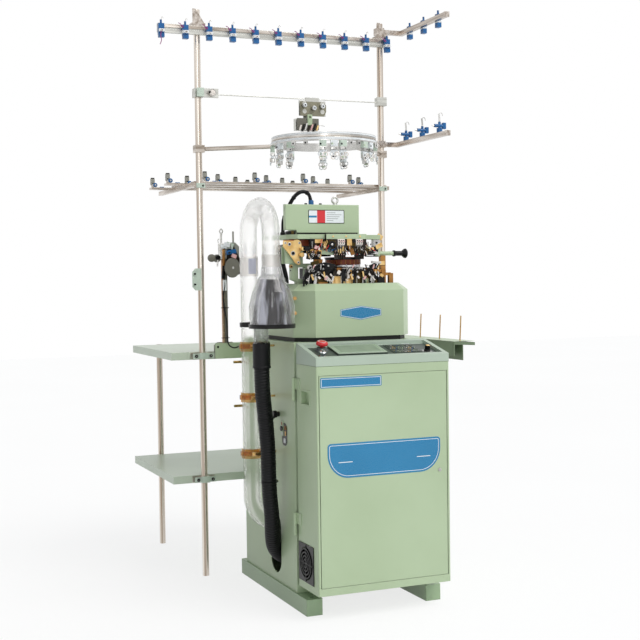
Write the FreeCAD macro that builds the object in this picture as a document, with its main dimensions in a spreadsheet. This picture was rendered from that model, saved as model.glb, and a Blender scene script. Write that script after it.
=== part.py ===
"""Industrial circular knitting machine with its yarn creel, in millimetres.

X runs across the machine, Y from the operator's side to the back, Z up.
The origin is on the floor, in the middle of the four floor-bolt holes.
"""
import FreeCAD
import Part
import math
import os

import Sketcher
from FreeCAD import Placement, Rotation, Vector

# Every driving size, written once. Depths named *_front, *_back or *_depth are
# measured from the front face of the swing cabinet, heights from the floor.
SIZES = {
    # welded base and body
    "skid_length": 671, "skid_width": 58.5, "skid_height": 56.5, "skid_wall": 4,
    "skid_setback": 90, "base_width": 512, "floor_bolt_inset": 25.5, "floor_bolt_bore": 7,
    "body_width": 500, "body_front": 190, "body_back": 716, "body_top": 923,
    "body_sheet": 3, "body_flange": 22, "latch_depth": 311, "latch_height": 615,
    "side_knob_depth": 344, "side_knob_height": 663, "hose_port_depth": 394, "hose_port_radius": 53,
    "hose_port_low": 138, "hose_port_high": 255, "drive_hole_radius": 84,
    "bed_thick": 15, "bed_inset": 9,
    # swing cabinet with its door and console
    "cabinet_width": 496, "cabinet_depth": 175.5, "cabinet_low": 87, "cabinet_high": 851.6,
    "cabinet_sheet": 2, "door_low": 112.6, "door_high": 821.3, "door_half_width": 237.5,
    "door_gap": 2.5, "door_fold": 10, "door_pivot_inset": 15.5, "door_pivot_depth": 8,
    "lock_across": 208, "lock_height": 479, "lock_radius": 6,
    "console_lip": 28.7, "console_slope": 13.7, "console_rim": 16, "console_sink": 12,
    "hinge_across": 257, "hinge_depth": 183, "hinge_radius": 6, "hinge_pin_radius": 3,
    "hinge_length": 76, "hinge_low": 262, "hinge_high": 726,
    "fan_depth": 105, "fan_height": 178.5, "fan_size": 130, "fan_bore": 56,
    "grip_low": 718, "grip_high": 764, "grip_front": 61, "grip_back": 135,
    # knitting head
    "axis_depth": 330, "cover_front": 180, "cover_back": 560,
    "cover_left": 232, "cover_right": 214, "cover_corner": 60, "cover_right_corner": 47, "cover_skirt_top": 1100, "cover_top": 1124,
    "cover_lip": 30, "cover_sheet": 3,
    "cylinder_radius": 58, "cylinder_bore": 50, "cylinder_rise": 67, "needle_count": 72,
    "housing_radius": 96, "table_low": 1105, "table_thick": 14,
    "dial_radius": 63, "dial_gap": 18, "dial_thick": 25, "cutter_teeth": 60,
    "column_left": 212, "column_right": 148, "column_front": 296, "column_back": 322,
    "column_rise": 91, "pivot_across": 207, "pivot_rise": 35, "pivot_radius": 6,
    "plate_rise": 51, "head_plate_thick": 16, "head_left": 229, "head_right": 64,
    "head_front": 270, "head_back": 430, "head_arm_end": 142,
    "box_left": 232, "box_right": 53, "box_front": 300, "box_back": 440, "box_height": 107,
    "box_cover": 20, "box_inner_left": 168, "cable_depth": 372,
    "post_left": 148, "post_right": 167, "handle_end": 202, "grip_end": 255,
    "handle_radius": 7.5,
    # suction duct and hose
    "duct_radius": 31, "duct_wall": 2, "duct_leg_across": 341, "duct_leg_depth": 383, "duct_inlet": 270,
    "duct_arch_centre": 1300, "manifold_face": 125,
    "funnel_across": 328, "funnel_depth": 192, "funnel_radius": 76, "funnel_low": 984,
    "funnel_waist": 1150, "hose_radius": 27.5, "hose_valley": 24.5, "hose_bore": 22, "rib_count": 62,
    # creel
    "pole_radius": 12.5, "pole_wall": 1.5, "pole_top": 2170, "pole_left": 395, "pole_right": 377,
    "pole_depth": 784,
    "shelf_left": 514, "shelf_right": 496, "shelf_back": 1400,
    "shelf_thick": 29.5, "shelf_sheet": 2, "upper_shelf_top": 866, "lower_shelf_top": 390,
    "bar_low": 2072, "bar_high": 2105, "bar_thick": 14, "bar_left": 555, "bar_right": 363,
    "extension_drop": 32, "extension_reach": 475, "extension_front": 405,
    "ring_radius": 191, "ring_low": 1635, "ring_high": 1666, "ring_depth": 492,
    "ring_thick": 14, "guide_height": 1684, "guide_reach": 450, "guide_front": 360,
    "tray_height": 1514, "tray_back": 1270, "tray_left": 488, "tray_right": 410,
    "rail_size": 16, "tray_plank": 44, "wire_height": 1850, "wire_radius": 2,
    "peg_tray_width": 92, "peg_tray_front": 405, "peg_tray_back": 1050,
    "peg_tray_top": 893, "peg_droop": 3, "peg_length": 100, "peg_radius": 2.5, "peg_pitch": 166,
    # fits
    "running_gap": 0.05, "clear_gap": 0.3,
}

doc = FreeCAD.newDocument("knitting_machine")
sheet = doc.addObject("Spreadsheet::Sheet", "Sizes")
for row, (alias, number) in enumerate(SIZES.items(), start=1):
    sheet.set(f"A{row}", alias)
    sheet.set(f"B{row}", str(number))
    sheet.setAlias(f"B{row}", alias)
doc.recompute()


class Size(float):
    """A length that remembers the sheet formula it comes from."""

    def __new__(cls, value, formula):
        self = float.__new__(cls, value)
        self.formula = formula
        return self

    def __add__(self, other):
        return Size(float(self) + float(other), f"({self.formula} + {formula(other)})")

    def __sub__(self, other):
        return Size(float(self) - float(other), f"({self.formula} - {formula(other)})")

    def __mul__(self, other):
        return Size(float(self) * float(other), f"({self.formula} * {formula(other)})")

    def __truediv__(self, other):
        return Size(float(self) / float(other), f"({self.formula} / {formula(other)})")

    def __neg__(self):
        return Size(-float(self), f"(-1 * {self.formula})")

    def __radd__(self, other):
        return Size(float(other) + float(self), f"({formula(other)} + {self.formula})")

    def __rsub__(self, other):
        return Size(float(other) - float(self), f"({formula(other)} - {self.formula})")

    __rmul__ = __mul__


def formula(value):
    return value.formula if isinstance(value, Size) else repr(round(float(value), 6))


def turn(kind, angle):
    """sin, cos or tan of an angle in degrees, kept as a formula."""
    plain = getattr(math, kind)(math.radians(float(angle)))
    return Size(plain, f"{kind}({formula(angle)} * 1 deg)")


class Sheet:
    """Reads a named size as a Size."""

    def __getattr__(self, name):
        return Size(sheet.get(name), f"Sizes.{name}")


S = Sheet()
NODES = []


# ---------------------------------------------------------------- helpers

def bind(item, path, value):
    """Set one number of an object, tied to the sheet where it comes from it."""
    if isinstance(value, Size):
        item.setExpression(path, value.formula)
    elif not path.startswith("."):
        setattr(item, path, value)


def place(item, x, y, z, rotation=None):
    item.Placement = Placement(Vector(float(x), float(y), float(z)), rotation or Rotation())
    for axis, value in zip("xyz", (x, y, z)):
        bind(item, f".Placement.Base.{axis}", value)
    return item


def keep(label, item):
    """Give a finished sub-part its name."""
    item.Label = label
    NODES.append(item)
    return item


TO_AXIS = {
    "x": Rotation(Vector(0, 1, 0), 90),
    "y": Rotation(Vector(1, 0, 0), -90),
    "z": Rotation(),
}


def block(x0, x1, y0, y1, z0, z1):
    item = doc.addObject("Part::Box", "Block")
    bind(item, "Length", x1 - x0)
    bind(item, "Width", y1 - y0)
    bind(item, "Height", z1 - z0)
    return place(item, x0, y0, z0)


def rod(axis, x, y, z, radius, length):
    """A round bar that starts at a point and runs along an axis."""
    item = doc.addObject("Part::Cylinder", "Rod")
    bind(item, "Radius", radius)
    bind(item, "Height", length)
    return place(item, x, y, z, TO_AXIS[axis])


def cone(axis, x, y, z, start, end, length):
    item = doc.addObject("Part::Cone", "Cone")
    bind(item, "Radius1", start)
    bind(item, "Radius2", end)
    bind(item, "Height", length)
    return place(item, x, y, z, TO_AXIS[axis])


def ring(x, y, z, major, minor, rotation=None):
    item = doc.addObject("Part::Torus", "Ring")
    bind(item, "Radius1", major)
    bind(item, "Radius2", minor)
    return place(item, x, y, z, rotation)


def fuse(*items):
    if len(items) == 1:
        return items[0]
    item = doc.addObject("Part::MultiFuse", "Fusion")
    item.Shapes = list(items)
    item.Refine = True
    return item


def cut(base, *tools):
    item = doc.addObject("Part::Cut", "Cut")
    item.Base = base
    item.Tool = fuse(*tools)
    item.Refine = True
    return item


def group(*items):
    """Like pieces that share one node, as separate solids."""
    item = doc.addObject("Part::Compound", "Group")
    item.Links = list(items)
    return item


def pipe(axis, x, y, z, outer, inner, length):
    return cut(rod(axis, x, y, z, outer, length), rod(axis, x, y, z, inner, length))


# sketches and the features made from them

def add_polygon(sketch, points):
    first = sketch.GeometryCount
    count = len(points)
    corners = [Vector(float(u), float(v), 0) for u, v in points]
    for i in range(count):
        sketch.addGeometry(Part.LineSegment(corners[i], corners[(i + 1) % count]))
    for i in range(count):
        following = first + (i + 1) % count
        sketch.addConstraint(Sketcher.Constraint("Coincident", first + i, 2, following, 1))
    for i, (u, v) in enumerate(points):
        locate(sketch, first + i, 1, u, v)


def locate(sketch, edge, end, u, v):
    """Fix a sketch point by its two distances from the sketch's origin."""
    for kind, value in (("DistanceX", u), ("DistanceY", v)):
        index = sketch.addConstraint(
            Sketcher.Constraint(kind, -1, 1, edge, end, float(value)))
        if isinstance(value, Size):
            sketch.setExpression(f"Constraints[{index}]", value.formula)


def add_circle(sketch, u, v, radius):
    centre = Vector(float(u), float(v), 0)
    edge = sketch.addGeometry(Part.Circle(centre, Vector(0, 0, 1), float(radius)))
    locate(sketch, edge, 3, u, v)
    index = sketch.addConstraint(Sketcher.Constraint("Radius", edge, float(radius)))
    if isinstance(radius, Size):
        sketch.setExpression(f"Constraints[{index}]", radius.formula)


def add_slot(sketch, u, low, high, radius):
    """An upright slot with round ends."""
    r = float(radius)
    x = float(u)
    arcs = []
    for v, start in ((high, 0), (low, math.pi)):
        circle = Part.Circle(Vector(x, float(v), 0), Vector(0, 0, 1), r)
        arcs.append(sketch.addGeometry(Part.ArcOfCircle(circle, start, start + math.pi)))
        locate(sketch, arcs[-1], 3, u, v)
    left = sketch.addGeometry(Part.LineSegment(Vector(x - r, float(high), 0),
                                               Vector(x - r, float(low), 0)))
    right = sketch.addGeometry(Part.LineSegment(Vector(x + r, float(low), 0),
                                                Vector(x + r, float(high), 0)))
    for first, end, second, start in ((arcs[0], 2, left, 1), (left, 2, arcs[1], 1),
                                      (arcs[1], 2, right, 1), (right, 2, arcs[0], 1)):
        sketch.addConstraint(Sketcher.Constraint("Tangent", first, end, second, start))
    index = sketch.addConstraint(Sketcher.Constraint("Radius", arcs[0], r))
    if isinstance(radius, Size):
        sketch.setExpression(f"Constraints[{index}]", radius.formula)


def new_body(label=None):
    """A body; one without a label is later joined into another sub-part."""
    body = doc.addObject("PartDesign::Body", "Body")
    return keep(label, body) if label else body


def new_sketch(body, plane, offset, loops):
    """A sketch on one of the body's own planes; loops hold corners or round shapes."""
    sketch = body.newObject("Sketcher::SketchObject", "Sketch")
    datum = [f for f in body.Origin.OriginFeatures if f.Role == f"{plane}_Plane"][0]
    sketch.AttachmentSupport = (datum, [""])
    sketch.MapMode = "FlatFace"
    sketch.AttachmentOffset = Placement(Vector(0, 0, float(offset)), Rotation())
    bind(sketch, ".AttachmentOffset.Base.z", offset)
    for loop in loops:
        if loop[0] == "circle":
            add_circle(sketch, *loop[1:])
        elif loop[0] == "slot":
            add_slot(sketch, *loop[1:])
        else:
            add_polygon(sketch, loop)
    return sketch


def prism(body, kind, plane, low, high, loops):
    """Pad or pocket of a sketch between two levels along the plane's axis."""
    toward_high = (kind == "Pad") != (plane == "XZ")
    level = low if toward_high else high
    sketch = new_sketch(body, plane, -level if plane == "XZ" else level, loops)
    feature = body.newObject(f"PartDesign::{kind}", kind)
    feature.Profile = sketch
    bind(feature, "Length", high - low)
    body.Tip = feature
    return feature


def pad(body, plane, low, high, *loops):
    return prism(body, "Pad", plane, low, high, loops)


def pocket(body, plane, low, high, *loops):
    return prism(body, "Pocket", plane, low, high, loops)


def loft(body, kind, low, low_loop, high, high_loop):
    """A loft between two level outlines, added or taken away."""
    feature = body.newObject(f"PartDesign::{kind}Loft", "Loft")
    first = new_sketch(body, "XY", low, [low_loop])
    second = new_sketch(body, "XY", high, [high_loop])
    feature.Profile = first
    feature.Sections = [second]
    feature.Ruled = True
    body.Tip = feature
    return feature


def polar(body, feature, count):
    """Repeat one feature round the body's own Z axis."""
    item = body.newObject("PartDesign::PolarPattern", "Pattern")
    item.Originals = [feature]
    axis = [f for f in body.Origin.OriginFeatures if f.Role == "Z_Axis"][0]
    item.Axis = (axis, [""])
    item.Angle = 360
    bind(item, "Occurrences", count)
    body.Tip = item
    return item


def turned(label, axis, x, y, z, profile):
    """A piece turned about an axis; the profile lists radius and distance along it."""
    body = new_body(label)
    sketch = new_sketch(body, "XZ", 0, [profile])
    feature = body.newObject("PartDesign::Revolution", "Turned")
    feature.Profile = sketch
    feature.ReferenceAxis = (sketch, ["V_Axis"])
    feature.Angle = 360
    body.Tip = feature
    place(body, x, y, z, TO_AXIS[axis])
    return body


def rectangle(u0, u1, v0, v1):
    return [(u0, v0), (u1, v0), (u1, v1), (u0, v1)]


def fillet(body, radius, chosen, kind="Fillet"):
    """Round or bevel the edges of the body so far that pass a test."""
    doc.recompute()
    base = body.Tip
    names = [f"Edge{i}" for i, edge in enumerate(base.Shape.Edges, start=1) if chosen(edge)]
    feature = body.newObject(f"PartDesign::{kind}", kind)
    feature.Base = (base, names)
    bind(feature, "Radius" if kind == "Fillet" else "Size", radius)
    body.Tip = feature
    return feature


def upright(edge, test=lambda x, y: True):
    """True for a straight edge along Z at a place that passes the test."""
    box = edge.BoundBox
    return box.ZLength > 1 and box.XLength + box.YLength < 0.01 and test(box.XMin, box.YMin)


FRONT = -(S.skid_setback + S.skid_length / 2)


CYLINDER_TOP = S.table_low + S.cylinder_rise
DIAL_LOW = CYLINDER_TOP + S.dial_gap
DIAL_TOP = DIAL_LOW + S.dial_thick
COLUMN_TOP = S.table_low + S.column_rise
PIVOT = COLUMN_TOP + S.pivot_rise
PLATE_LOW = PIVOT + S.plate_rise
BOX_TOP = PLATE_LOW + S.head_plate_thick + S.box_height


def deep(value):
    """Y of a plane given by its distance behind the swing cabinet's front face."""
    return FRONT + value


# ---------------------------------------------------------------- base and body

def base_skids():
    """Two box-section runners, closed in front, bolted to the floor at both ends."""
    inner = S.base_width / 2 - S.skid_width
    skids = []
    for side in (-1, 1):
        x0, x1 = sorted((side * inner, side * S.base_width / 2))
        front = deep(S.skid_setback)
        back = front + S.skid_length
        centre = side * (inner + S.skid_width / 2)
        body = new_body()
        skids.append(body)
        pad(body, "XY", 0, S.skid_height, rectangle(x0, x1, front, back))
        fillet(body, 3, lambda edge: upright(edge, lambda x, y: y < float(front) + 1))
        pocket(body, "XZ", front + S.skid_wall, back,
               rectangle(x0 + S.skid_wall, x1 - S.skid_wall, S.skid_wall,
                         S.skid_height - S.skid_wall))
        pocket(body, "XY", 0, S.skid_height,
               ("circle", centre, front + S.floor_bolt_inset, S.floor_bolt_bore),
               ("circle", centre, back - S.floor_bolt_inset, S.floor_bolt_bore))
    keep("base_skids", group(*skids))


def body_shell():
    """The main sheet-metal box: open in front, with the hose port in its left side."""
    half = S.body_width / 2
    inner = half - S.body_sheet
    front = deep(S.body_front)
    back = deep(S.body_back)
    body = new_body()
    pad(body, "XY", S.skid_height, S.body_top, rectangle(-half, half, front, back))
    pocket(body, "XZ", front, back - S.body_sheet,
           rectangle(-inner, inner, S.skid_height + S.body_sheet, S.body_top - S.body_sheet))
    flange = half - S.body_flange
    pad(body, "XZ", front, front + S.body_sheet,
        rectangle(-half, half, S.skid_height, S.body_top),
        rectangle(-flange, flange, S.skid_height + S.body_flange, S.body_top - S.body_flange))
    pocket(body, "YZ", -half, -inner,
           ("slot", deep(S.hose_port_depth), S.hose_port_low, S.hose_port_high,
            S.hose_port_radius))
    pocket(body, "XY", S.body_top - S.body_sheet, S.body_top,
           ("circle", 0, deep(S.axis_depth), S.drive_hole_radius))
    pins = []
    for height in (660, 828):
        pins.append(rod("x", -half - 48, deep(700), height, 4, 48))
    hole = rod("x", -half - 5, deep(S.latch_depth), S.latch_height, 5 + S.running_gap, 20)
    knob_hole = rod("x", -half - 5, deep(S.side_knob_depth), S.side_knob_height,
                    4 + S.running_gap, 20)
    plate = block(-half - 3, -half, deep(S.latch_depth) - 12, deep(S.latch_depth) + 12,
                  S.latch_height - 27, S.latch_height + 27)
    keep("body_shell", cut(fuse(body, plate, *pins), hole, knob_hole))


def bed_plate():
    """The thick table the head stands on, set back under the cover's skirt."""
    left = S.cover_left - S.bed_inset
    right = S.cover_right - S.bed_inset
    front = deep(S.cover_front) + S.bed_inset + 1
    back = deep(S.cover_back) - S.bed_inset
    corner = S.cover_corner
    body = new_body()
    pad(body, "XY", S.body_top, S.body_top + S.bed_thick,
        [(-left, front + corner), (corner - left, front), (right - S.cover_right_corner, front),
         (right, front + corner), (right, back), (-left, back)])
    pocket(body, "XY", S.body_top, S.body_top + S.bed_thick,
           ("circle", 0, deep(S.axis_depth), S.drive_hole_radius))
    bore = 17 + S.running_gap
    rim = S.drive_hole_radius + 12
    bearing = turned(None, "z", 0, deep(S.axis_depth), S.body_top - S.body_sheet - 37,
                     [(bore, 0), (40, 0), (40, 25), (rim, 25), (rim, 37), (bore, 37)])
    spigot = pipe("z", 0, deep(S.axis_depth), S.body_top - S.body_sheet,
                  S.drive_hole_radius, S.drive_hole_radius - 12, S.body_sheet + S.bed_thick)
    keep("bed_plate", fuse(body, bearing, spigot))


def drive():
    """Motor, toothed belt and the shaft that turns the needle cylinder."""
    motor_x = 120
    axis_y = deep(S.axis_depth)
    belt_z = S.body_top - 113
    motor = new_body()
    pad(motor, "XY", belt_z - 232, belt_z - 32, ("circle", motor_x, axis_y, 62))
    pad(motor, "XY", belt_z - 32, belt_z - 22, rectangle(58, 182, axis_y - 62, axis_y + 62))
    pocket(motor, "XY", belt_z - 26, belt_z - 22, ("circle", motor_x, axis_y, 20))
    bracket = new_body()
    inner = S.body_width / 2 - S.body_sheet
    pad(bracket, "XY", belt_z - 22, belt_z - 14,
        rectangle(50, inner, axis_y - 72, axis_y + 72), ("circle", motor_x, axis_y, 30))
    pad(bracket, "YZ", inner - 8, inner, rectangle(axis_y - 72, axis_y + 72, belt_z - 80,
                                                   belt_z - 22))
    keep("drive_motor", fuse(motor, bracket))
    turned("motor_pulley", "z", motor_x, axis_y, belt_z - 26,
           [(0, 0), (9, 0), (9, 20), (30, 20), (30, 23), (26, 23), (26, 45), (30, 45),
            (30, 48), (0, 48)])
    turned("cylinder_shaft", "z", 0, axis_y, belt_z - 30,
           [(0, 0), (17, 0), (17, 24), (44, 24), (44, 27), (40, 27), (40, 49), (44, 49),
            (44, 52), (17, 52), (17, 143), (S.cylinder_bore - 10, 143),
            (S.cylinder_bore - 10, 177), (0, 177)])
    belt = doc.addObject("Part::Feature", "Belt")
    outer = belt_loop(motor_x, float(axis_y), 28.6, 42.6)
    inside = belt_loop(motor_x, float(axis_y), 26.3, 40.3)
    belt.Shape = outer.cut(inside)
    place(belt, 0, 0, belt_z)
    keep("drive_belt", belt)


def belt_loop(motor_x, axis_y, small, large):
    """A flat slab bounded by two pulleys and their outer tangents."""
    height = 16
    lean = math.asin((large - small) / motor_x)
    up = Vector(math.sin(lean), math.cos(lean), 0)
    down = Vector(math.sin(lean), -math.cos(lean), 0)
    hub = Vector(0, axis_y, 0)
    tip = Vector(motor_x, axis_y, 0)
    edges = [
        Part.LineSegment(hub + up * large, tip + up * small).toShape(),
        Part.Arc(tip + up * small, tip + Vector(small, 0, 0), tip + down * small).toShape(),
        Part.LineSegment(tip + down * small, hub + down * large).toShape(),
        Part.Arc(hub + down * large, hub - Vector(large, 0, 0), hub + up * large).toShape(),
    ]
    return Part.Face(Part.Wire(edges)).extrude(Vector(0, 0, height))


def side_fittings():
    """The quarter-turn lock and the knob on the body's left side."""
    wall = -S.body_width / 2
    inside = wall + S.body_sheet
    latch_y = deep(S.latch_depth)
    z = S.latch_height
    latch = fuse(rod("x", wall - 7, latch_y, z, 9, 4 - S.clear_gap / 2),
                 rod("x", wall - 7, latch_y, z, 5, S.body_sheet + 14),
                 block(inside + 1, inside + 4, latch_y - 6, latch_y + 34, z - 6, z + 6))
    keep("side_latch", cut(latch, block(wall - 8, wall - 5.5, latch_y - 1, latch_y + 1,
                                        z - 8, z + 8)))
    turned("side_knob", "x", wall - 24, deep(S.side_knob_depth), S.side_knob_height,
           [(0, 0), (11, 0), (13, 3), (13, 12), (9, 18), (9, 24 - S.clear_gap),
            (4, 24 - S.clear_gap), (4, 34), (0, 34)])


# ---------------------------------------------------------------- swing cabinet

def cabinet_shell():
    """The folded cabinet that swings away from the body on its left hinges."""
    half = S.cabinet_width / 2
    inner = half - S.cabinet_sheet
    body = new_body()
    pad(body, "XY", S.cabinet_low, S.cabinet_high,
        rectangle(-half, half, FRONT, deep(S.cabinet_depth)))
    fillet(body, 4, lambda edge: upright(edge, lambda x, y: y < float(FRONT) + 1))
    pocket(body, "XZ", deep(S.cabinet_sheet), deep(S.cabinet_depth),
           rectangle(-inner, inner, S.cabinet_low + S.cabinet_sheet,
                     S.cabinet_high - S.cabinet_sheet))
    opening = S.door_half_width + S.door_gap
    pocket(body, "XZ", FRONT, deep(S.cabinet_sheet),
           rectangle(-opening, opening, S.door_low, S.door_high))
    side = -half
    pocket(body, "YZ", side, side + S.cabinet_sheet,
           ("circle", deep(S.fan_depth), S.fan_height, S.fan_bore))
    pocket(body, "YZ", side, side + S.cabinet_sheet,
           rectangle(deep(S.grip_front), deep(S.grip_back), S.grip_low, S.grip_high))
    keep("cabinet_shell", fuse(body, grip_cup(), *pivot_brackets()))


def door_levels():
    """Bottom and top of the door, inside its opening."""
    return S.door_low + S.door_gap / 2, S.door_high - S.door_gap / 2


def pivot_brackets():
    """Drilled blocks inside the cabinet's front that hold the door's pivots."""
    x = -S.door_half_width + S.door_pivot_inset
    y = deep(S.door_pivot_depth)
    blocks = []
    low, high = door_levels()
    for near, far in ((low - 13, low - 3), (high + 3, high + 13)):
        plate = block(x - 12, x + 12, deep(S.cabinet_sheet), deep(20), near, far)
        blocks.append(cut(plate, rod("z", x, y, near - 1, 3 + S.running_gap, 12)))
    return blocks


def grip_cup():
    """The recessed pull in the cabinet's left side."""
    side = -S.cabinet_width / 2
    front = deep(S.grip_front)
    back = deep(S.grip_back)
    body = new_body()
    pad(body, "YZ", side, side + 20, rectangle(front, back, S.grip_low, S.grip_high))
    pocket(body, "YZ", side, side + 18,
           rectangle(front + 2, back - 2, S.grip_low + 2, S.grip_high - 2))
    pad(body, "YZ", side - 1.5, side,
        rectangle(front - 5, back + 5, S.grip_low - 5, S.grip_high + 5),
        rectangle(front + 2, back - 2, S.grip_low + 2, S.grip_high - 2))
    return body


def cabinet_door():
    """The front door: a folded tray hung on two pivots, with its lock."""
    half = S.door_half_width
    low, high = door_levels()
    fold = deep(S.door_fold)
    sheet_wall = S.cabinet_sheet
    body = new_body()
    pad(body, "XZ", FRONT, fold, rectangle(-half, half, low, high))
    pocket(body, "XZ", deep(sheet_wall), fold,
           rectangle(-half + sheet_wall, half - sheet_wall, low + sheet_wall, high - sheet_wall))
    pocket(body, "XZ", FRONT, fold,
           ("circle", S.lock_across, S.lock_height, S.lock_radius + S.running_gap))
    pivot_x = -half + S.door_pivot_inset
    pivot_y = deep(S.door_pivot_depth)
    pins = []
    for start in (low - 12, high - sheet_wall):
        pins.append(rod("z", pivot_x, pivot_y, start, 3, sheet_wall + 12))
    keep("cabinet_door", fuse(body, *pins))
    barrel = fuse(rod("y", S.lock_across, deep(-2.5), S.lock_height, S.lock_radius, 17.5),
                  block(S.lock_across - 8, S.lock_across + 37, deep(12), deep(15),
                        S.lock_height - 6, S.lock_height + 6))
    keep("door_lock", cut(barrel, block(S.lock_across - 1, S.lock_across + 1, deep(-3),
                                        deep(-1), S.lock_height - 5, S.lock_height + 5)))


def console_plane(height):
    """Height of the console's sloped top above the cabinet at a given depth."""
    return S.cabinet_high + S.console_lip + turn("tan", S.console_slope) * height


def console_housing():
    """The wedge-shaped console with a sunk, sloping panel."""
    half = S.cabinet_width / 2
    rim = S.console_rim
    sink = S.console_sink
    back = S.cabinet_depth
    body = new_body("console_housing")
    cheek = [(FRONT, S.cabinet_high), (FRONT, console_plane(0)),
             (deep(back), console_plane(back)), (deep(back), S.cabinet_high)]
    middle = [(FRONT, S.cabinet_high), (FRONT, console_plane(0)),
              (deep(rim), console_plane(rim)), (deep(rim), console_plane(rim) - sink),
              (deep(back) - rim, console_plane(back - rim) - sink),
              (deep(back) - rim, console_plane(back - rim)),
              (deep(back), console_plane(back)), (deep(back), S.cabinet_high)]
    pad(body, "YZ", -half, rim - half, cheek)
    pad(body, "YZ", rim - half, half - rim, middle)
    pad(body, "YZ", half - rim, half, cheek)
    pocket(body, "XY", S.cabinet_high, S.cabinet_high + 12,
           rectangle(5 - half, half - 5, deep(5), deep(back) - 5))


def on_console(item, x, along, lift):
    """Stand an item on the sunk panel, square to it."""
    tilt = Rotation(Vector(1, 0, 0), float(S.console_slope))
    run = turn("cos", S.console_slope) * along - turn("sin", S.console_slope) * lift
    rise = turn("sin", S.console_slope) * along + turn("cos", S.console_slope) * lift
    return place(item, x, FRONT + run, console_plane(0) - S.console_sink + rise, tilt)


def panel_box(x, along, lift, width, length, height):
    return on_console(block(0, width, 0, length, 0, height), x, along, lift)


def console_controls():
    """Screen, keypad, stop button, key switch and rotary knob."""
    base = 1.5
    room = S.cabinet_width - S.console_rim * 2 - 2
    parts = [panel_box(room / -2, S.console_rim + 3, 0.2, room, 135, base - 0.2),
             cut(panel_box(-145, 52, base, 184, 100, 5), panel_box(-135, 62, base + 3, 164, 80, 5)),
             panel_box(66, 52, base, 112, 98, 2)]
    for column in range(5):
        for line in range(4):
            parts.append(panel_box(72 + column * 21, 58 + line * 23, base + 1.8, 16, 16, 1.4))
    parts.append(on_console(cone("z", 0, 0, 0, 17, 14, 12), -180, 118, base))
    holes = []
    for x, along in ((-180, 118), (-203, 52), (198, 66)):
        holes.append(on_console(rod("z", 0, 0, 0, 5 + S.running_gap, 30), x, along, -4))
    keep("control_panel", cut(fuse(*parts), *holes))
    step = base + S.clear_gap
    for label, x, along, profile in (
            ("stop_button", -180, 118,
             [(0, 5), (5, 5), (5, 18), (12, 20), (19, 21), (20, 26), (17, 32), (9, 35),
              (0, 35)]),
            ("key_switch", -203, 52,
             [(0, 1), (5, 1), (5, step), (8, step), (8, 12), (6, 18), (0, 18)]),
            ("rotary_knob", 198, 66,
             [(0, 1), (5, 1), (5, step), (12, step), (12, 6), (9, 8), (8, 22), (0, 22)])):
        body = turned(label, "z", 0, 0, 0, profile)
        on_console(body, x, along, 0)


def hinges():
    """Two lift-off hinges between the body and the swing cabinet."""
    x = -S.hinge_across
    y = deep(S.hinge_depth)
    r = S.hinge_radius
    half_length = S.hinge_length / 2
    wall = -S.body_width / 2
    cabinet_wall = -S.cabinet_width / 2
    fixed = []
    swinging = []
    pins = []
    for low in (S.hinge_low, S.hinge_high):
        split = low + half_length
        top = low + S.hinge_length
        lower = fuse(rod("z", x, y, low, r, half_length),
                     block(wall - 4, wall, y, deep(S.body_front) + 28, low, split))
        fixed.append(lower)
        start = split + S.clear_gap
        upper = fuse(rod("z", x, y, start, r, half_length - S.clear_gap),
                     block(x, cabinet_wall, y - 5, y, start, top),
                     block(cabinet_wall - 3, cabinet_wall, deep(S.cabinet_depth) - 30, y,
                           start, top))
        swinging.append(cut(upper, rod("z", x, y, split - 1, S.hinge_pin_radius + S.running_gap,
                                       half_length + 2)))
        pins.append(rod("z", x, y, low - 3, S.hinge_pin_radius, S.hinge_length + 6))
    keep("body_hinge_leaves", group(*[fuse(leaf, pin) for leaf, pin in zip(fixed, pins)]))
    keep("cabinet_hinge_leaves", group(*swinging))


def cooling_fan():
    """Finger guard, housing and rotor of the fan in the cabinet's left side."""
    side = -S.cabinet_width / 2
    y = deep(S.fan_depth)
    z = S.fan_height
    half = S.fan_size / 2
    guard = new_body("fan_guard")
    outer = rectangle(y - half, y + half, z - half, z + half)
    pad(guard, "YZ", side - 3, side, outer, ("circle", y, z, S.fan_bore))
    for radius in (14, 26, 38, 50):
        pad(guard, "YZ", side - 6, side - 3, ("circle", y, z, radius + 2), ("circle", y, z, radius - 2))
    for spoke in (rectangle(y - half + 4, y + half - 4, z - 2, z + 2),
                  rectangle(y - 2, y + 2, z - half + 4, z + half - 4)):
        pad(guard, "YZ", side - 5, side - 3, spoke)
    inside = side + S.cabinet_sheet
    case = new_body("fan_housing")
    pad(case, "YZ", inside, inside + 28, rectangle(y - 60, y + 60, z - 60, z + 60),
        ("circle", y, z, S.fan_bore))
    pad(case, "YZ", inside + 24, inside + 28, rectangle(y - 58, y + 58, z - 5, z + 5))
    pad(case, "YZ", inside + 24, inside + 28, rectangle(y - 5, y + 5, z - 58, z + 58))
    pad(case, "YZ", inside + 22, inside + 28, ("circle", y, z, 20))
    pad(case, "YZ", inside + 6, inside + 22, ("circle", y, z, 3))
    rotor = new_body("fan_rotor")
    pad(rotor, "XY", 0, 18, ("circle", 0, 0, 19))
    blade = pad(rotor, "XY", 2, 16, [(12, -7), (50, 4), (52, 8), (12, -4)])
    polar(rotor, blade, 7)
    pocket(rotor, "XY", 3, 18, ("circle", 0, 0, 3.05))
    place(rotor, inside + 3, y, z, TO_AXIS["x"])


# ---------------------------------------------------------------- knitting head

def cover_outline(inset):
    left = S.cover_left - inset
    right = S.cover_right - inset
    front = deep(S.cover_front) + inset
    back = deep(S.cover_back) - inset
    corner = S.cover_corner - inset * 0.586
    across = S.cover_right_corner - inset * 0.586
    return [(-left, front + corner), (corner - left, front), (right - across, front),
            (right, front + corner), (right, back), (-left, back)]


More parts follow.
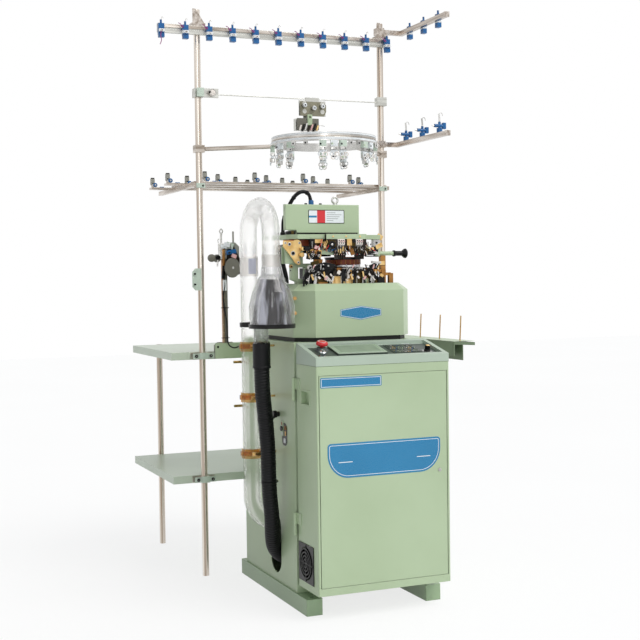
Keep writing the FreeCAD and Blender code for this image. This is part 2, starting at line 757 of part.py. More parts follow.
def knitting_cover():
    """The sheet skirt round the head, with bevelled corners and a rolled-in top lip."""
    low = S.body_top + S.bed_thick
    wall = S.cover_sheet
    skirt = S.cover_skirt_top
    body = new_body("knitting_cover")
    pad(body, "XY", low, skirt, cover_outline(0))
    loft(body, "Additive", skirt, cover_outline(0), S.cover_top, cover_outline(S.cover_lip))
    pocket(body, "XY", low + wall, skirt, cover_outline(wall))
    loft(body, "Subtractive", skirt, cover_outline(wall), S.cover_top,
         cover_outline(S.cover_lip + wall))
    pocket(body, "XY", low, low + wall, cover_outline(24))


def needle_head():
    """Cylinder, cams and dial: the slotted needle cylinder is the heart of the machine."""
    y = deep(S.axis_depth)
    bed = S.body_top + S.bed_thick
    table_top = S.table_low + S.table_thick
    outer = S.cylinder_radius
    housing = turned(None, "z", 0, y, bed,
                     [(outer + 4, 0), (118, 0), (118, 14), (S.housing_radius, 22),
                      (S.housing_radius, S.table_low - bed), (outer + 4, S.table_low - bed)])
    cylinder = new_body("needle_cylinder")
    foot = bed + 7
    height = CYLINDER_TOP - foot
    pad(cylinder, "XY", 0, height, ("circle", 0, 0, outer), ("circle", 0, 0, S.cylinder_bore))
    pad(cylinder, "XY", 0, 12, ("circle", 0, 0, outer), ("circle", 0, 0, S.cylinder_bore - 10))
    groove = pocket(cylinder, "XY", height - 95, height,
                    rectangle(outer - 3.2, outer + 1, -0.9, 0.9))
    polar(cylinder, groove, S.needle_count)
    place(cylinder, 0, y, foot)

    table = new_body()
    front = deep(S.cover_front) + 42
    back = deep(S.cover_back) - 60
    pad(table, "XY", S.table_low, table_top,
        [(-136, front + 40), (-96, front), (122, front), (172, front + 50), (172, back - 40),
         (136, back), (-100, back), (-136, back - 40)],
        ("circle", 0, y, outer + 4))
    keep("cylinder_housing", fuse(housing, table))
    cams = new_body("cam_ring")
    pad(cams, "XY", 0, 9, ("circle", 0, 0, 112), ("circle", 0, 0, outer + 4))
    cam_block = pad(cams, "XY", 9, 30,
                    [(outer + 7, -16), (92, -20), (108, -9), (108, 8), (88, 18), (outer + 7, 14)])
    polar(cams, cam_block, 7)
    place(cams, 0, y, table_top)
    turned("sinker_ring", "z", 0, y, table_top + 30,
           [(outer + 5, 0), (90, 0), (90, 5), (80, 9), (80, CYLINDER_TOP - table_top - 24),
            (74, CYLINDER_TOP - table_top - 20), (outer + 5, CYLINDER_TOP - table_top - 20)])

    dial = turned(None, "z", 0, y, DIAL_LOW,
                  [(0, 0), (S.dial_radius, 0), (S.dial_radius, DIAL_TOP - DIAL_LOW),
                   (S.dial_radius - 6, DIAL_TOP - DIAL_LOW + 3), (10, DIAL_TOP - DIAL_LOW + 3),
                   (10, PLATE_LOW - DIAL_LOW - 14), (0, PLATE_LOW - DIAL_LOW - 14)])
    cutter = new_body()
    pad(cutter, "XY", 0, 2.5, ("circle", 0, 0, S.dial_radius + 5), ("circle", 0, 0, 30))
    tooth = pocket(cutter, "XY", 0, 2.5,
                   [(S.dial_radius + 2, 0), (S.dial_radius + 6, -0.5), (S.dial_radius + 6, 5)])
    polar(cutter, tooth, S.cutter_teeth)
    place(cutter, 0, y, DIAL_TOP)
    keep("dial_drum", fuse(dial, cutter))


def head_column():
    """The C-shaped cast column, its pivot bracket and the lifting plate with its box."""
    left = -S.column_left
    right = -S.column_right
    front = deep(S.column_front)
    back = deep(S.column_back)
    bed = S.body_top + S.bed_thick
    body = new_body("head_column")
    neck = left + 19
    pad(body, "XZ", front, back,
        [(neck, bed), (right, bed), (right, COLUMN_TOP - 32), (right + 20, COLUMN_TOP - 20),
         (right + 20, COLUMN_TOP), (left, COLUMN_TOP), (left, COLUMN_TOP - 56),
         (neck, COLUMN_TOP - 64)],
        rectangle(left + 24, right - 12, COLUMN_TOP - 54, COLUMN_TOP - 14))
    fillet(body, 3, lambda edge: abs(edge.BoundBox.YLength - float(back - front)) < 0.01)

    pivot_x = -S.pivot_across
    bracket = new_body()
    outline = [(pivot_x - 32, COLUMN_TOP), (pivot_x + 35, COLUMN_TOP), (pivot_x + 35, PIVOT + 25),
               (pivot_x + 17, PIVOT + 44), (pivot_x - 15, PIVOT + 42), (pivot_x - 32, PIVOT + 24)]
    pad(bracket, "XZ", front - 6, front + 1, outline,
        ("circle", pivot_x, PIVOT, S.pivot_radius),
        ("circle", pivot_x + 22, PIVOT + 19, 3.5), ("circle", pivot_x - 19, PIVOT + 26, 3.5))
    pad(bracket, "XZ", back - 1, back + 6, outline,
        ("circle", pivot_x, PIVOT, S.pivot_radius))
    pad(bracket, "XY", COLUMN_TOP, COLUMN_TOP + 5, rectangle(pivot_x - 5, pivot_x + 35, front - 6, back + 6))
    pin = rod("y", pivot_x, front - 12, PIVOT, S.pivot_radius, back - front + 24)
    keep("pivot_bracket", fuse(bracket, pin))

    low = PLATE_LOW
    top = low + S.head_plate_thick
    plate = new_body()
    pad(plate, "XY", low, top,
        [(-S.head_left, deep(S.head_front) + 36), (-S.head_left + 30, deep(S.head_front)),
         (S.head_right, deep(S.head_front)), (S.head_right, deep(312)),
         (S.head_arm_end, deep(312)), (S.head_arm_end, deep(348)), (S.head_right, deep(348)),
         (S.head_right, deep(S.head_back)), (-S.head_left, deep(S.head_back))])
    pad(plate, "XZ", front + 2, back - 2,
        [(pivot_x - 15, low), (pivot_x - 15, PIVOT), (pivot_x - 8, PIVOT - 13),
         (pivot_x + 8, PIVOT - 13), (pivot_x + 15, PIVOT), (pivot_x + 26, low)])
    pocket(plate, "XZ", front + 2, back - 2,
           ("circle", pivot_x, PIVOT, S.pivot_radius + S.running_gap))
    bore = 10 + S.running_gap
    bearing = turned(None, "z", 0, deep(S.axis_depth), low - 40,
                     [(bore, 0), (24, 0), (24, 28), (40, 32), (40, 40), (bore, 40)])
    keep("head_plate", fuse(plate, bearing))

    cover = new_body()
    pad(cover, "XZ", deep(S.box_front), deep(S.box_front) + S.box_cover,
        [(-S.box_left + 42, top), (S.box_right, top), (S.box_right, BOX_TOP),
         (-S.box_left, BOX_TOP), (-S.box_left, top + 16), (-S.box_left + 42, top + 16)])
    fillet(cover, 3, lambda edge: edge.BoundBox.YLength < 0.01
           and abs(edge.BoundBox.YMin - float(deep(S.box_front))) < 0.01)
    housing = block(-S.box_inner_left, S.box_right - 4, deep(S.box_front) + S.box_cover - 1,
                    deep(S.box_back), top, BOX_TOP)
    eye = [rod("z", -20, deep(350), BOX_TOP, 9, 4), rod("z", -20, deep(350), BOX_TOP + 4, 4, 6),
           ring(-20, deep(350), BOX_TOP + 19, 11, 3.5, Rotation(Vector(1, 0, 0), 90))]
    for x in (-140, -84):
        eye.append(cone("z", x, deep(334), BOX_TOP, 5, 4, 6))
    keep("head_box", fuse(cover, housing, *eye))


def feeder_parts():
    """Yarn fingers in front of the dial and their bracket under the lifting plate."""
    bracket = new_body()
    pad(bracket, "XZ", deep(S.head_front) - 14, deep(S.head_front) + 6,
        [(-96, PLATE_LOW + 16), (-96, PLATE_LOW - 20), (-80, PLATE_LOW - 32), (50, PLATE_LOW - 32),
         (60, PLATE_LOW - 20), (60, PLATE_LOW), (36, PLATE_LOW), (36, PLATE_LOW + 16)])
    pocket(bracket, "XZ", deep(S.head_front), deep(S.head_front) + 6,
           rectangle(-120, 64, PLATE_LOW, PLATE_LOW + 18))
    fingers = []
    for cluster in (-64, 14):
        for number in range(5):
            x = cluster + number * 7
            lean = (number - 2) * 4
            finger = block(0, 4, 0, 9, 0, 46)
            fingers.append(place(finger, x, deep(S.head_front) - 20, PLATE_LOW - 72,
                                 Rotation(Vector(0, 1, 0), lean)))
    keep("yarn_fingers", fuse(bracket, *fingers))


def lift_handle():
    """Handle that swings the head up, and the post its arm rests on."""
    y = deep(S.axis_depth)
    x0 = S.head_arm_end - 16
    bracket = new_body()
    pad(bracket, "XZ", y - 9, y + 9,
        [(x0 - 8, PLATE_LOW), (x0 - 8, PIVOT + 31), (x0, PIVOT + 19), (x0, PIVOT - 12),
         (x0 + 17, PIVOT - 12), (x0 + 17, PLATE_LOW)])
    fillet(bracket, 2, lambda edge: abs(edge.BoundBox.YLength - 18) < 0.01)
    pocket(bracket, "YZ", x0 + 9, x0 + 17, ("circle", y, PIVOT, S.handle_radius))
    start = x0 + 9
    tube = rod("x", start, y, PIVOT, S.handle_radius, S.handle_end - start + 12)
    keep("lift_handle", fuse(bracket, tube))
    grip_length = S.grip_end - S.handle_end
    bore = S.handle_radius
    turned("handle_grip", "x", S.handle_end, y, PIVOT,
           [(bore, 0), (11, 0), (12, 4), (9, 12), (9, grip_length - 18), (17, grip_length - 7),
            (18, grip_length - 3), (16, grip_length), (0, grip_length), (0, 12), (bore, 12)])
    table_top = S.table_low + S.table_thick
    rest = PIVOT - S.handle_radius - 0.4
    post = new_body("rest_post")
    pad(post, "XZ", y - 9, y + 9,
        [(S.post_left - 24, table_top), (S.post_right, table_top), (S.post_right, rest),
         (S.post_left, rest), (S.post_left, table_top + 16), (S.post_left - 24, table_top + 16)])
    fillet(post, 1.5, lambda edge: abs(edge.BoundBox.YLength - 18) < 0.01
           and edge.BoundBox.ZMin > float(table_top) + 1)


def cam_levers():
    """Bent selector levers and solenoid blocks round the cam ring."""
    top = S.table_low + S.table_thick
    levers = []
    for x, depth, height, length in ((-132, 256, 40, 40), (-134, 330, 34, 30),
                                     (116, 248, 52, -40), (152, 262, 40, -44),
                                     (130, 436, 46, -40)):
        foot = block(x, x + 16, deep(depth), deep(depth) + 14, top, top + height)
        x0, x1 = sorted((x + 8, x + 8 + length))
        arm = block(x0, x1, deep(depth) + 3, deep(depth) + 9, top + height - 8, top + height + 2)
        levers.append(fuse(foot, arm))
    keep("cam_levers", group(*levers))
    blocks = []
    for x, depth in ((-118, 426), (-70, 450), (60, 450), (130, 392)):
        blocks.append(fuse(block(x, x + 40, deep(depth), deep(depth) + 34, top, top + 62),
                           rod("z", x + 20, deep(depth) + 17, top + 62, 7, 8)))
    keep("selector_solenoids", group(*blocks))


# ---------------------------------------------------------------- suction duct and hose

def rounded_path(points, radii):
    """Straight runs joined by tangent arcs; a radius of None takes the largest that fits."""
    edges = []
    start = points[0]
    used = []
    for i in range(1, len(points) - 1):
        before = points[i] - points[i - 1]
        after = points[i + 1] - points[i]
        half_turn = before.getAngle(after) / 2
        tangent = 0.45 * min(before.Length, after.Length)
        radius = tangent / math.tan(half_turn)
        if radii is not None:
            radius = radii
            tangent = radius * math.tan(half_turn)
        enter = points[i] - before.normalize() * tangent
        leave = points[i] + after.normalize() * tangent
        bisector = (enter + leave) / 2 - points[i]
        reach = radius / math.cos(half_turn) - radius
        middle = points[i] + bisector.normalize() * reach
        edges.append(Part.LineSegment(start, enter).toShape())
        edges.append(Part.Arc(enter, middle, leave).toShape())
        used.append(round(radius))
        start = leave
    edges.append(Part.LineSegment(start, points[-1]).toShape())
    return Part.Wire(edges), used


def sweep(path, radius):
    """A round solid along a path of lines and arcs."""
    first = path.OrderedEdges[0]
    direction = first.tangentAt(first.FirstParameter)
    profile = Part.Wire(Part.Circle(path.OrderedVertexes[0].Point, direction, radius).toShape())
    return path.makePipeShell([profile], True, True)


def lengthened(path, extra):
    """The same path with its two straight ends run on a little."""
    edges = path.OrderedEdges
    first = edges[0]
    last = edges[-1]
    start = first.valueAt(first.FirstParameter)
    end = last.valueAt(last.LastParameter)
    start_way = first.tangentAt(first.FirstParameter)
    end_way = last.tangentAt(last.LastParameter)
    lead = Part.LineSegment(start - start_way * extra, first.valueAt(first.LastParameter))
    tail = Part.LineSegment(last.valueAt(last.FirstParameter), end + end_way * extra)
    return Part.Wire([lead.toShape()] + edges[1:-1] + [tail.toShape()])


def suction_duct():
    """The clear duct: up the body's side, over an arch and down into the funnel."""
    leg = Vector(-float(S.duct_leg_across), float(deep(S.duct_leg_depth)), 0)
    down = Vector(-float(S.funnel_across), float(deep(S.funnel_depth)), 0)
    crown = Vector(0, 0, float(S.duct_arch_centre))
    spread = (down - leg).Length / 2
    elbow = 100
    inlet = float(S.duct_inlet)
    wall = -float(S.body_width) / 2
    box_face = -float(S.manifold_face)
    neck = float(S.funnel_waist) - 10
    bend = Vector(leg.x, leg.y, inlet)
    edges = [
        Part.LineSegment(Vector(box_face, leg.y, inlet),
                         Vector(leg.x + elbow, leg.y, inlet)).toShape(),
        Part.Arc(bend + Vector(elbow, 0, 0),
                 bend + Vector(elbow, 0, elbow) - Vector(elbow, 0, elbow) * math.sqrt(0.5),
                 bend + Vector(0, 0, elbow)).toShape(),
        Part.LineSegment(bend + Vector(0, 0, elbow), leg + crown).toShape(),
        Part.Arc(leg + crown, (leg + down) / 2 + crown + Vector(0, 0, spread),
                 down + crown).toShape(),
        Part.LineSegment(down + crown, down + Vector(0, 0, neck)).toShape(),
    ]
    path = Part.Wire(edges)
    shape = sweep(path, float(S.duct_radius)).cut(
        sweep(lengthened(path, 2), float(S.duct_radius - S.duct_wall)))
    duct = doc.addObject("Part::Feature", "Duct")
    duct.Shape = shape
    duct.Placement = Placement()
    keep("suction_duct", duct)

    low = S.funnel_low + 6
    x = -S.funnel_across
    y = deep(S.funnel_depth)
    rise = S.funnel_waist - low
    radius = S.funnel_radius
    snug = S.duct_radius + S.clear_gap
    turned("duct_funnel", "z", x, y, low,
           [(radius, 0), (radius * 1.04, rise * 0.38), (radius * 0.87, rise * 0.68),
            (radius * 0.57, rise), (snug + 5, rise + 8), (snug + 2, rise + 34), (snug, rise + 34),
            (snug, rise + 8), (radius * 0.57 - 3, rise - 4), (radius * 0.87 - 3, rise * 0.68),
            (radius * 1.04 - 3, rise * 0.38), (radius - 2.5, 0)])
    base = new_body()
    drop_x = -346
    drop_y = deep(252)
    pad(base, "XY", S.funnel_low - 8, low, ("circle", x, y, radius + 4))
    pocket(base, "XY", S.funnel_low - 2, low, ("circle", x, y, radius - 3))
    pocket(base, "XY", S.funnel_low - 8, S.funnel_low - 2, ("circle", drop_x, drop_y, S.hose_bore - 4))
    turned("lint_filter", "z", x, y, S.funnel_low - 2,
           [(radius - 12, 0), (radius - 8, 0), (radius - 8, 10), (radius * 0.8, rise * 0.42),
            (radius * 0.69, rise * 0.68), (radius * 0.49, rise), (radius * 0.49 - 2, rise),
            (radius * 0.69 - 2, rise * 0.68), (radius * 0.8 - 2, rise * 0.42), (radius - 12, 10)])
    arm = fuse(block(x - 12, x + 2, y + radius + 1, deep(S.duct_leg_depth) - 24,
                     S.funnel_low - 8, S.funnel_low + 4),
               rod("z", -S.duct_leg_across, deep(S.duct_leg_depth), S.funnel_low - 10,
                   S.duct_radius + 5, 16))
    arm = cut(arm, rod("z", -S.duct_leg_across, deep(S.duct_leg_depth), S.funnel_low - 12,
                       S.duct_radius + S.running_gap, 20))
    keep("funnel_base", fuse(base, arm))
    clips = []
    for height in (525, 725, 905):
        ring_x = -S.duct_leg_across
        y_leg = deep(S.duct_leg_depth)
        body = fuse(rod("z", ring_x, y_leg, height - 8, S.duct_radius + 4, 16),
                    rod("x", ring_x, y_leg, height, 4, S.duct_leg_across + wall),
                    block(ring_x - 40, ring_x - 30, y_leg - 7, y_leg + 7, height - 8, height + 8))
        clips.append(cut(body, rod("z", ring_x, y_leg, height - 10,
                                   S.duct_radius + S.running_gap, 20)))
    keep("duct_clips", group(*clips))
    turned("hose_connector", "z", drop_x, drop_y, 837,
           [(S.hose_bore, 0), (29.5, 0), (29.5, 84), (27.5, 91), (25.5, 91),
            (25.5, S.funnel_low - 845), (S.hose_bore, S.funnel_low - 845)])
    box = new_body()
    face = -S.manifold_face
    pad(box, "XY", 90, 310, rectangle(face, -24, deep(330), deep(450)))
    pocket(box, "YZ", face, face + 60,
           ("circle", deep(S.duct_leg_depth), S.duct_inlet, S.duct_radius - S.duct_wall))
    pocket(box, "YZ", face, face + 60, ("circle", deep(394), 135, S.hose_bore))
    stand = new_body()
    floor = S.skid_height + S.body_sheet
    pad(stand, "XY", floor, 90, rectangle(face, -24, deep(336), deep(444)))
    pocket(stand, "XZ", deep(330), deep(450), rectangle(face + 4, -28, floor, 86))
    keep("suction_manifold", fuse(box, stand))


HOSE_ROUTE = [
    (-346, 252, 837), (-346, 252, 772), (-331, 276, 700), (-317, 294, 620), (-311, 297, 540),
    (-309, 300, 460), (-304, 306, 380), (-295, 310, 305), (-288, 330, 245), (-273, 362, 190),
    (-242, 388, 152), (-205, 394, 135), (-125, 394, 135),
]


def ribbed_hose():
    """The ribbed suction hose: ribs from a formula, with a smooth bore."""
    points = [Vector(x, float(FRONT) + depth, z) for x, depth, z in HOSE_ROUTE]
    path, radii = rounded_path(points, None)
    print("hose bend radii", radii, "length", round(path.Length))
    ribs = int(S.rib_count)
    plain = 28.0
    usable = path.Length - 2 * plain
    pitch = usable / ribs
    stations = [(0.0, S.hose_radius), (plain * 0.98, S.hose_radius)]
    for i in range(ribs):
        base = plain + i * pitch
        for share, radius in ((0.05, S.hose_valley), (0.35, S.hose_radius),
                              (0.7, S.hose_radius), (0.98, S.hose_valley)):
            stations.append((base + share * pitch, radius))
    stations += [(path.Length - plain * 0.98, S.hose_radius), (path.Length, S.hose_radius)]
    rings = [circle_on(path, along, float(radius)) for along, radius in stations]
    outside = Part.makeLoft(rings, True, True)
    hose = doc.addObject("Part::Feature", "Hose")
    hose.Shape = outside.cut(sweep(lengthened(path, 2), float(S.hose_bore)))
    hose.Placement = Placement()
    keep("ribbed_hose", hose)


def circle_on(path, along, radius):
    """A circle square to the path at a distance along it, its start held to one side."""
    left = along
    edges = path.OrderedEdges
    for edge in edges:
        if left <= edge.Length or edge.isSame(edges[-1]):
            break
        left -= edge.Length
    parameter = edge.getParameterByLength(min(left, edge.Length))
    point = edge.valueAt(parameter)
    direction = edge.tangentAt(parameter)
    steady = Vector(0, 1, 0)
    across = (steady - direction * steady.dot(direction)).normalize()
    frame = Rotation(across, direction.cross(across), direction, "XYZ")
    circle = Part.Circle(Vector(), Vector(0, 0, 1), radius).toShape()
    circle.Placement = Placement(point, frame)
    return Part.Wire(circle)


# ---------------------------------------------------------------- creel

def poles():
    """Two tall poles and two short ones carry the shelves and everything above."""
    y = deep(S.pole_depth)
    rear = deep(S.shelf_back) + S.pole_radius + S.clear_gap
    items = []
    for depth, top in ((y, S.pole_top), (rear, S.upper_shelf_top)):
        for x in (-S.pole_left, S.pole_right):
            items.append(pipe("z", x, depth, 0, S.pole_radius, S.pole_radius - S.pole_wall, top))
    keep("creel_poles", group(*items))


def shelf_front():
    return deep(S.pole_depth) + S.pole_radius + S.clear_gap


def shelves():
    """Two folded sheet shelves clamped to the poles."""
    clamps = []
    items = []
    for top in (S.upper_shelf_top, S.lower_shelf_top):
        low = top - S.shelf_thick
        wall = S.shelf_sheet
        body = new_body()
        items.append(body)
        pad(body, "XY", low, top, rectangle(-S.shelf_left, S.shelf_right, shelf_front(),
                                            deep(S.shelf_back)))
        pocket(body, "XY", low, top - wall,
               rectangle(wall - S.shelf_left, S.shelf_right - wall, shelf_front() + wall,
                         deep(S.shelf_back) - wall))
        rear = deep(S.shelf_back) + S.pole_radius + S.clear_gap
        for x in (-S.pole_left, S.pole_right):
            for y, face, outward in ((deep(S.pole_depth), shelf_front(), -1),
                                     (rear, deep(S.shelf_back), 1)):
                y0, y1 = sorted((face, y + outward * (S.pole_radius + 3)))
                saddle = block(x - S.pole_radius - 3, x + S.pole_radius + 3, y0, y1, low + 4, top - 3)
                ear0, ear1 = sorted((face, face + outward * 4))
                ears = block(x - 44, x + 44, ear0, ear1, low + 4, top - 3)
                hole = rod("z", x, y, low, S.pole_radius + S.running_gap, S.shelf_thick)
                clamps.append(cut(fuse(saddle, ears), hole))
    keep("creel_shelves", group(*items))
    return clamps


def top_bar():
    """The slotted bar with its yarn feeders, and the extension beside the right pole."""
    y = deep(S.pole_depth)
    back = y - S.pole_radius - S.clear_gap
    front = back - S.bar_thick
    body = new_body("creel_bar")
    pad(body, "XY", S.bar_low, S.bar_high, rectangle(-S.bar_left, S.bar_right + 30, front, back))
    middle = (S.bar_low + S.bar_high) / 2
    pocket(body, "XZ", front, front + 3, rectangle(-S.bar_left, S.bar_right + 30, middle - 3, middle + 3))
    gussets = []
    for x in (-S.pole_left, S.pole_right):
        base = block(x - 26, x + 26, front, y + S.pole_radius + 4, S.bar_high, S.bar_high + 12)
        rib = doc.addObject("Part::Wedge", "Gusset")
        rib.Xmin, rib.Xmax, rib.Ymin, rib.Ymax, rib.Zmin, rib.Zmax = 0, 46, 0, 52, 0, 3
        rib.X2min, rib.X2max, rib.Z2min, rib.Z2max = 0, 12, 0, 3
        place(rib, x - 24, front + 3, S.bar_high + 12, Rotation(Vector(1, 0, 0), 90))
        gussets.append(cut(fuse(base, rib), rod("z", x, y, S.bar_high - 1,
                                                S.pole_radius + S.running_gap, 20)))
    x = S.pole_right + S.pole_radius + S.clear_gap
    reach = S.extension_reach
    level = S.pole_top - S.extension_drop
    arm = fuse(block(x, reach + 9, y - 9, y + 9, level - 9, level + 9),
               block(reach - 9, reach + 9, deep(S.extension_front), y + 9, level - 9, level + 9))
    clamp = cut(block(S.pole_right - 18, x, y - 18, y + 18, level - 14, level + 14),
                rod("z", S.pole_right, y, level - 20, S.pole_radius + S.running_gap, 40))
    arms = [fuse(arm, clamp, end_cap(reach, S.extension_front, level))]

    feeders = []
    for number in range(11):
        x = -545 + number * 93.7
        feeders.append(feeder(x, front - 17, front, middle))
    for depth in (740, 620, 500):
        body = fuse(block(reach + 9, reach + 26, deep(depth) - 11, deep(depth) + 11, level - 30, level + 22),
                    rod("z", reach + 17, deep(depth), level + 22, 4, 14))
        feeders.append(body)
    x = S.pole_right + S.pole_radius + S.clear_gap
    level = S.guide_height
    reach = S.guide_reach
    arm = fuse(block(x, reach + 9, y - 9, y + 9, level - 9, level + 9),
               block(reach - 9, reach + 9, deep(S.guide_front), y + 9, level - 9, level + 9),
               block(S.pole_right - 18, x, y - 18, y + 18, level - 14, level + 14),
               end_cap(reach, S.guide_front, level))
    arms.append(cut(arm, rod("z", S.pole_right, y, level - 20,
                             S.pole_radius + S.running_gap, 40)))
    keep("right_arms", group(*arms))
    for depth in (700, 560, 420):
        feeders.append(fuse(rod("z", reach, deep(depth), level + 9, 11, 16),
                            rod("z", reach, deep(depth), level + 25, 5, 24)))
    keep("yarn_feeders", group(*feeders))
    return gussets


def end_cap(across, depth, level):
    return block(across - 10, across + 10, deep(depth) - 8, deep(depth), level - 10, level + 10)


def feeder(x, y0, y1, level):
    """One yarn feeder: a moulded body with a stem on top."""
    return fuse(block(x - 11, x + 11, y0, y1, level - 27, level + 14),
                block(x - 7, x + 7, y0 - 5, y0, level - 20, level - 6),
                rod("z", x, y0 + 8, level + 14, 4, 14))


def guide_ring():
    """The ring of yarn sensors above the head, its two arms and their clamps."""
    y = deep(S.ring_depth)
    low = S.ring_low
    tall = S.ring_high - low
    radius = S.ring_radius + S.ring_thick / 2
    hoop = turned(None, "z", 0, y, low,
                  [(radius - S.ring_thick, 0), (radius, 0), (radius, tall * 0.4),
                   (radius - 4, tall * 0.5), (radius - 4, tall), (radius - S.ring_thick, tall)])
    pole_y = deep(S.pole_depth)
    level = low + 8
    start = Vector(-float(S.pole_left) + 10, float(pole_y), 0)
    toward = Vector(-150, float(deep(624)), 0) - start
    heading = math.degrees(math.atan2(toward.y, toward.x))
    tube = rod("x", 0, 0, 0, 8, toward.Length)
    turn_to = Rotation(Vector(0, 0, 1), heading).multiply(TO_AXIS["x"])
    place(tube, -S.pole_left + 10, pole_y, level, turn_to)
    clamp = block(-S.pole_left - 18, 18 - S.pole_left, pole_y - 18, pole_y + 18, level - 14, level + 14)
    arms = [cut(fuse(tube, clamp),
                rod("z", -S.pole_left, pole_y, level - 20, S.pole_radius + S.running_gap, 40),
                rod("z", 0, y, low - 20, radius, tall + 40))]
    sensors = []
    for angle in (-170, -152, -114, -102, -92, -63, -51, -20, 13, 44, 68, 109, 127, 156):
        place_x = math.cos(math.radians(angle)) * (float(radius) - 7)
        place_y = math.sin(math.radians(angle)) * (float(radius) - 7)
        body = doc.addObject("Part::Box", "Sensor")
        body.Length, body.Width, body.Height = 24, 14, 34
        shift = Rotation(Vector(0, 0, 1), angle + 90)
        corner = Vector(place_x, place_y, 0) + shift.multVec(Vector(-12, -7, 0))
        place(body, corner.x, y + corner.y, low - 34, shift)
        sensors.append(body)
    keep("guide_ring", fuse(hoop, *sensors))

    strut = Vector(178, float(deep(580)), 0)
    pole = Vector(float(S.pole_right), float(pole_y), 0)
    run = strut - pole
    heading = math.degrees(math.atan2(run.y, run.x))
    tube = rod("x", 0, 0, 0, 8, run.Length)
    place(tube, S.pole_right, pole_y, low + 8,
          Rotation(Vector(0, 0, 1), heading).multiply(TO_AXIS["x"]))
    clamp = block(S.pole_right - 18, S.pole_right + 18, pole_y - 18, pole_y + 18, low - 6, low + 22)
    arms.append(cut(fuse(tube, clamp),
                    rod("z", S.pole_right, pole_y, low - 20, S.pole_radius + S.running_gap, 60),
                    rod("z", 0, y, low - 20, radius, tall + 40)))
    keep("ring_arms", group(*arms))


def tension_unit():
    """The wire rod across the poles, with the tension plates hung from it."""
    y = deep(S.pole_depth)
    z = S.wire_height
    left = -S.pole_left
    right = S.pole_right
    front = y - S.pole_radius
    wire = rod("x", left + 24, front - 6, z, S.wire_radius, right - left - 36)
    parts = [wire]
    for x, sign in ((left, 1), (right, -1)):
        x0, x1 = sorted((x - sign * 18, x + (75 if sign > 0 else -24)))
        plate = block(x0, x1, front - 10, front - S.clear_gap, z - 12, z + 22)
        shell = block(x - 18, x + 18, front - S.clear_gap, y + 16, z - 12, z + 22)
        parts.append(cut(fuse(plate, shell),
                         rod("z", x, y, z - 20, S.pole_radius + S.running_gap, 50)))
    parts.append(block(12, 125, front - 8, front - 4, 1784, z - 6))
    parts.append(block(40, 96, front - 10, front - 2, z - 12, z + 6))
    for x in (30, 106):
        for height in (1800, 1830):
            parts.append(rod("y", x, front - 22, height, 9, 14))
    parts.append(block(-6, 85, front - 18, front + 6, 1725, 1771))
    parts.append(block(30, 60, front - 8, front - 4, 1771, 1790))
    keep("tension_unit", fuse(*parts))


def yarn_tray():
    """Rails and cross bars carrying the yarn eyelets behind the head."""
    z = S.tray_height
    size = S.rail_size
    y = deep(S.pole_depth)
    rails = []
    for x, outward in ((-S.pole_left, -1), (S.pole_right, 1)):
        x0, x1 = sorted((x + outward * (S.pole_radius + S.clear_gap),
                         x + outward * (S.pole_radius + S.clear_gap + size)))
        rail = block(x0, x1, y - 14, deep(S.tray_back), z - size, z)
        clamp = block(x - 17, x + 17, y - 17, y + 12, z - size - 4, z - 1)
        rails.append(cut(fuse(rail, clamp), rod("z", x, y, z - 40, S.pole_radius + S.running_gap, 60)))
    bars = []
    eyelets = []
    half = S.tray_plank / 2
    for depth, start, first, count in ((824, 78, -361, 4), (927, 0, -480, 5), (1027, 58, -372, 4),
                                       (1155, 0, -480, 4)):
        bars.append(block(start - S.tray_left, S.tray_right, deep(depth) - half, deep(depth) + half,
                          z, z + 8))
        for number in range(count):
            x = first + number * 205
            eyelets.append(fuse(rod("z", x, deep(depth), z + 8, 6, 10),
                                block(x - 8, x + 8, deep(depth) - 5, deep(depth) + 5, z + 18, z + 36)))
    keep("yarn_tray", fuse(*rails, *bars, *eyelets))


def peg_tray():
    """The narrow tray on the upper shelf's right end, with three yarn pegs."""
    x = S.shelf_right
    top = S.peg_tray_top
    droop = S.peg_droop
    fall = turn("tan", droop) * S.peg_tray_width
    far = x + S.peg_tray_width
    body = new_body("peg_tray")
    front = deep(S.peg_tray_front)
    back = deep(S.peg_tray_back)
    pad(body, "XZ", front, back,
        [(x, S.upper_shelf_top - S.shelf_thick), (x + 3, S.upper_shelf_top - S.shelf_thick),
         (x + 3, top - 12), (far, top - 12 - fall), (far, top - fall), (x, top)])
    pad(body, "XZ", front, back,
        [(x + 37, 820), (x + 40, 820), (x + 40, top - 12), (x + 37, top - 12)])
    pegs = []
    for number in range(3):
        peg_x = x + 50
        y = deep(448) + number * S.peg_pitch
        rise = top - 50 * math.tan(math.radians(droop))
        peg = fuse(rod("z", 0, 0, 0, S.peg_radius, S.peg_length), rod("z", 0, 0, 0, 5, 3))
        pegs.append(place(peg, peg_x, y, rise, Rotation(Vector(0, 1, 0), droop)))
    keep("yarn_pegs", group(*pegs))


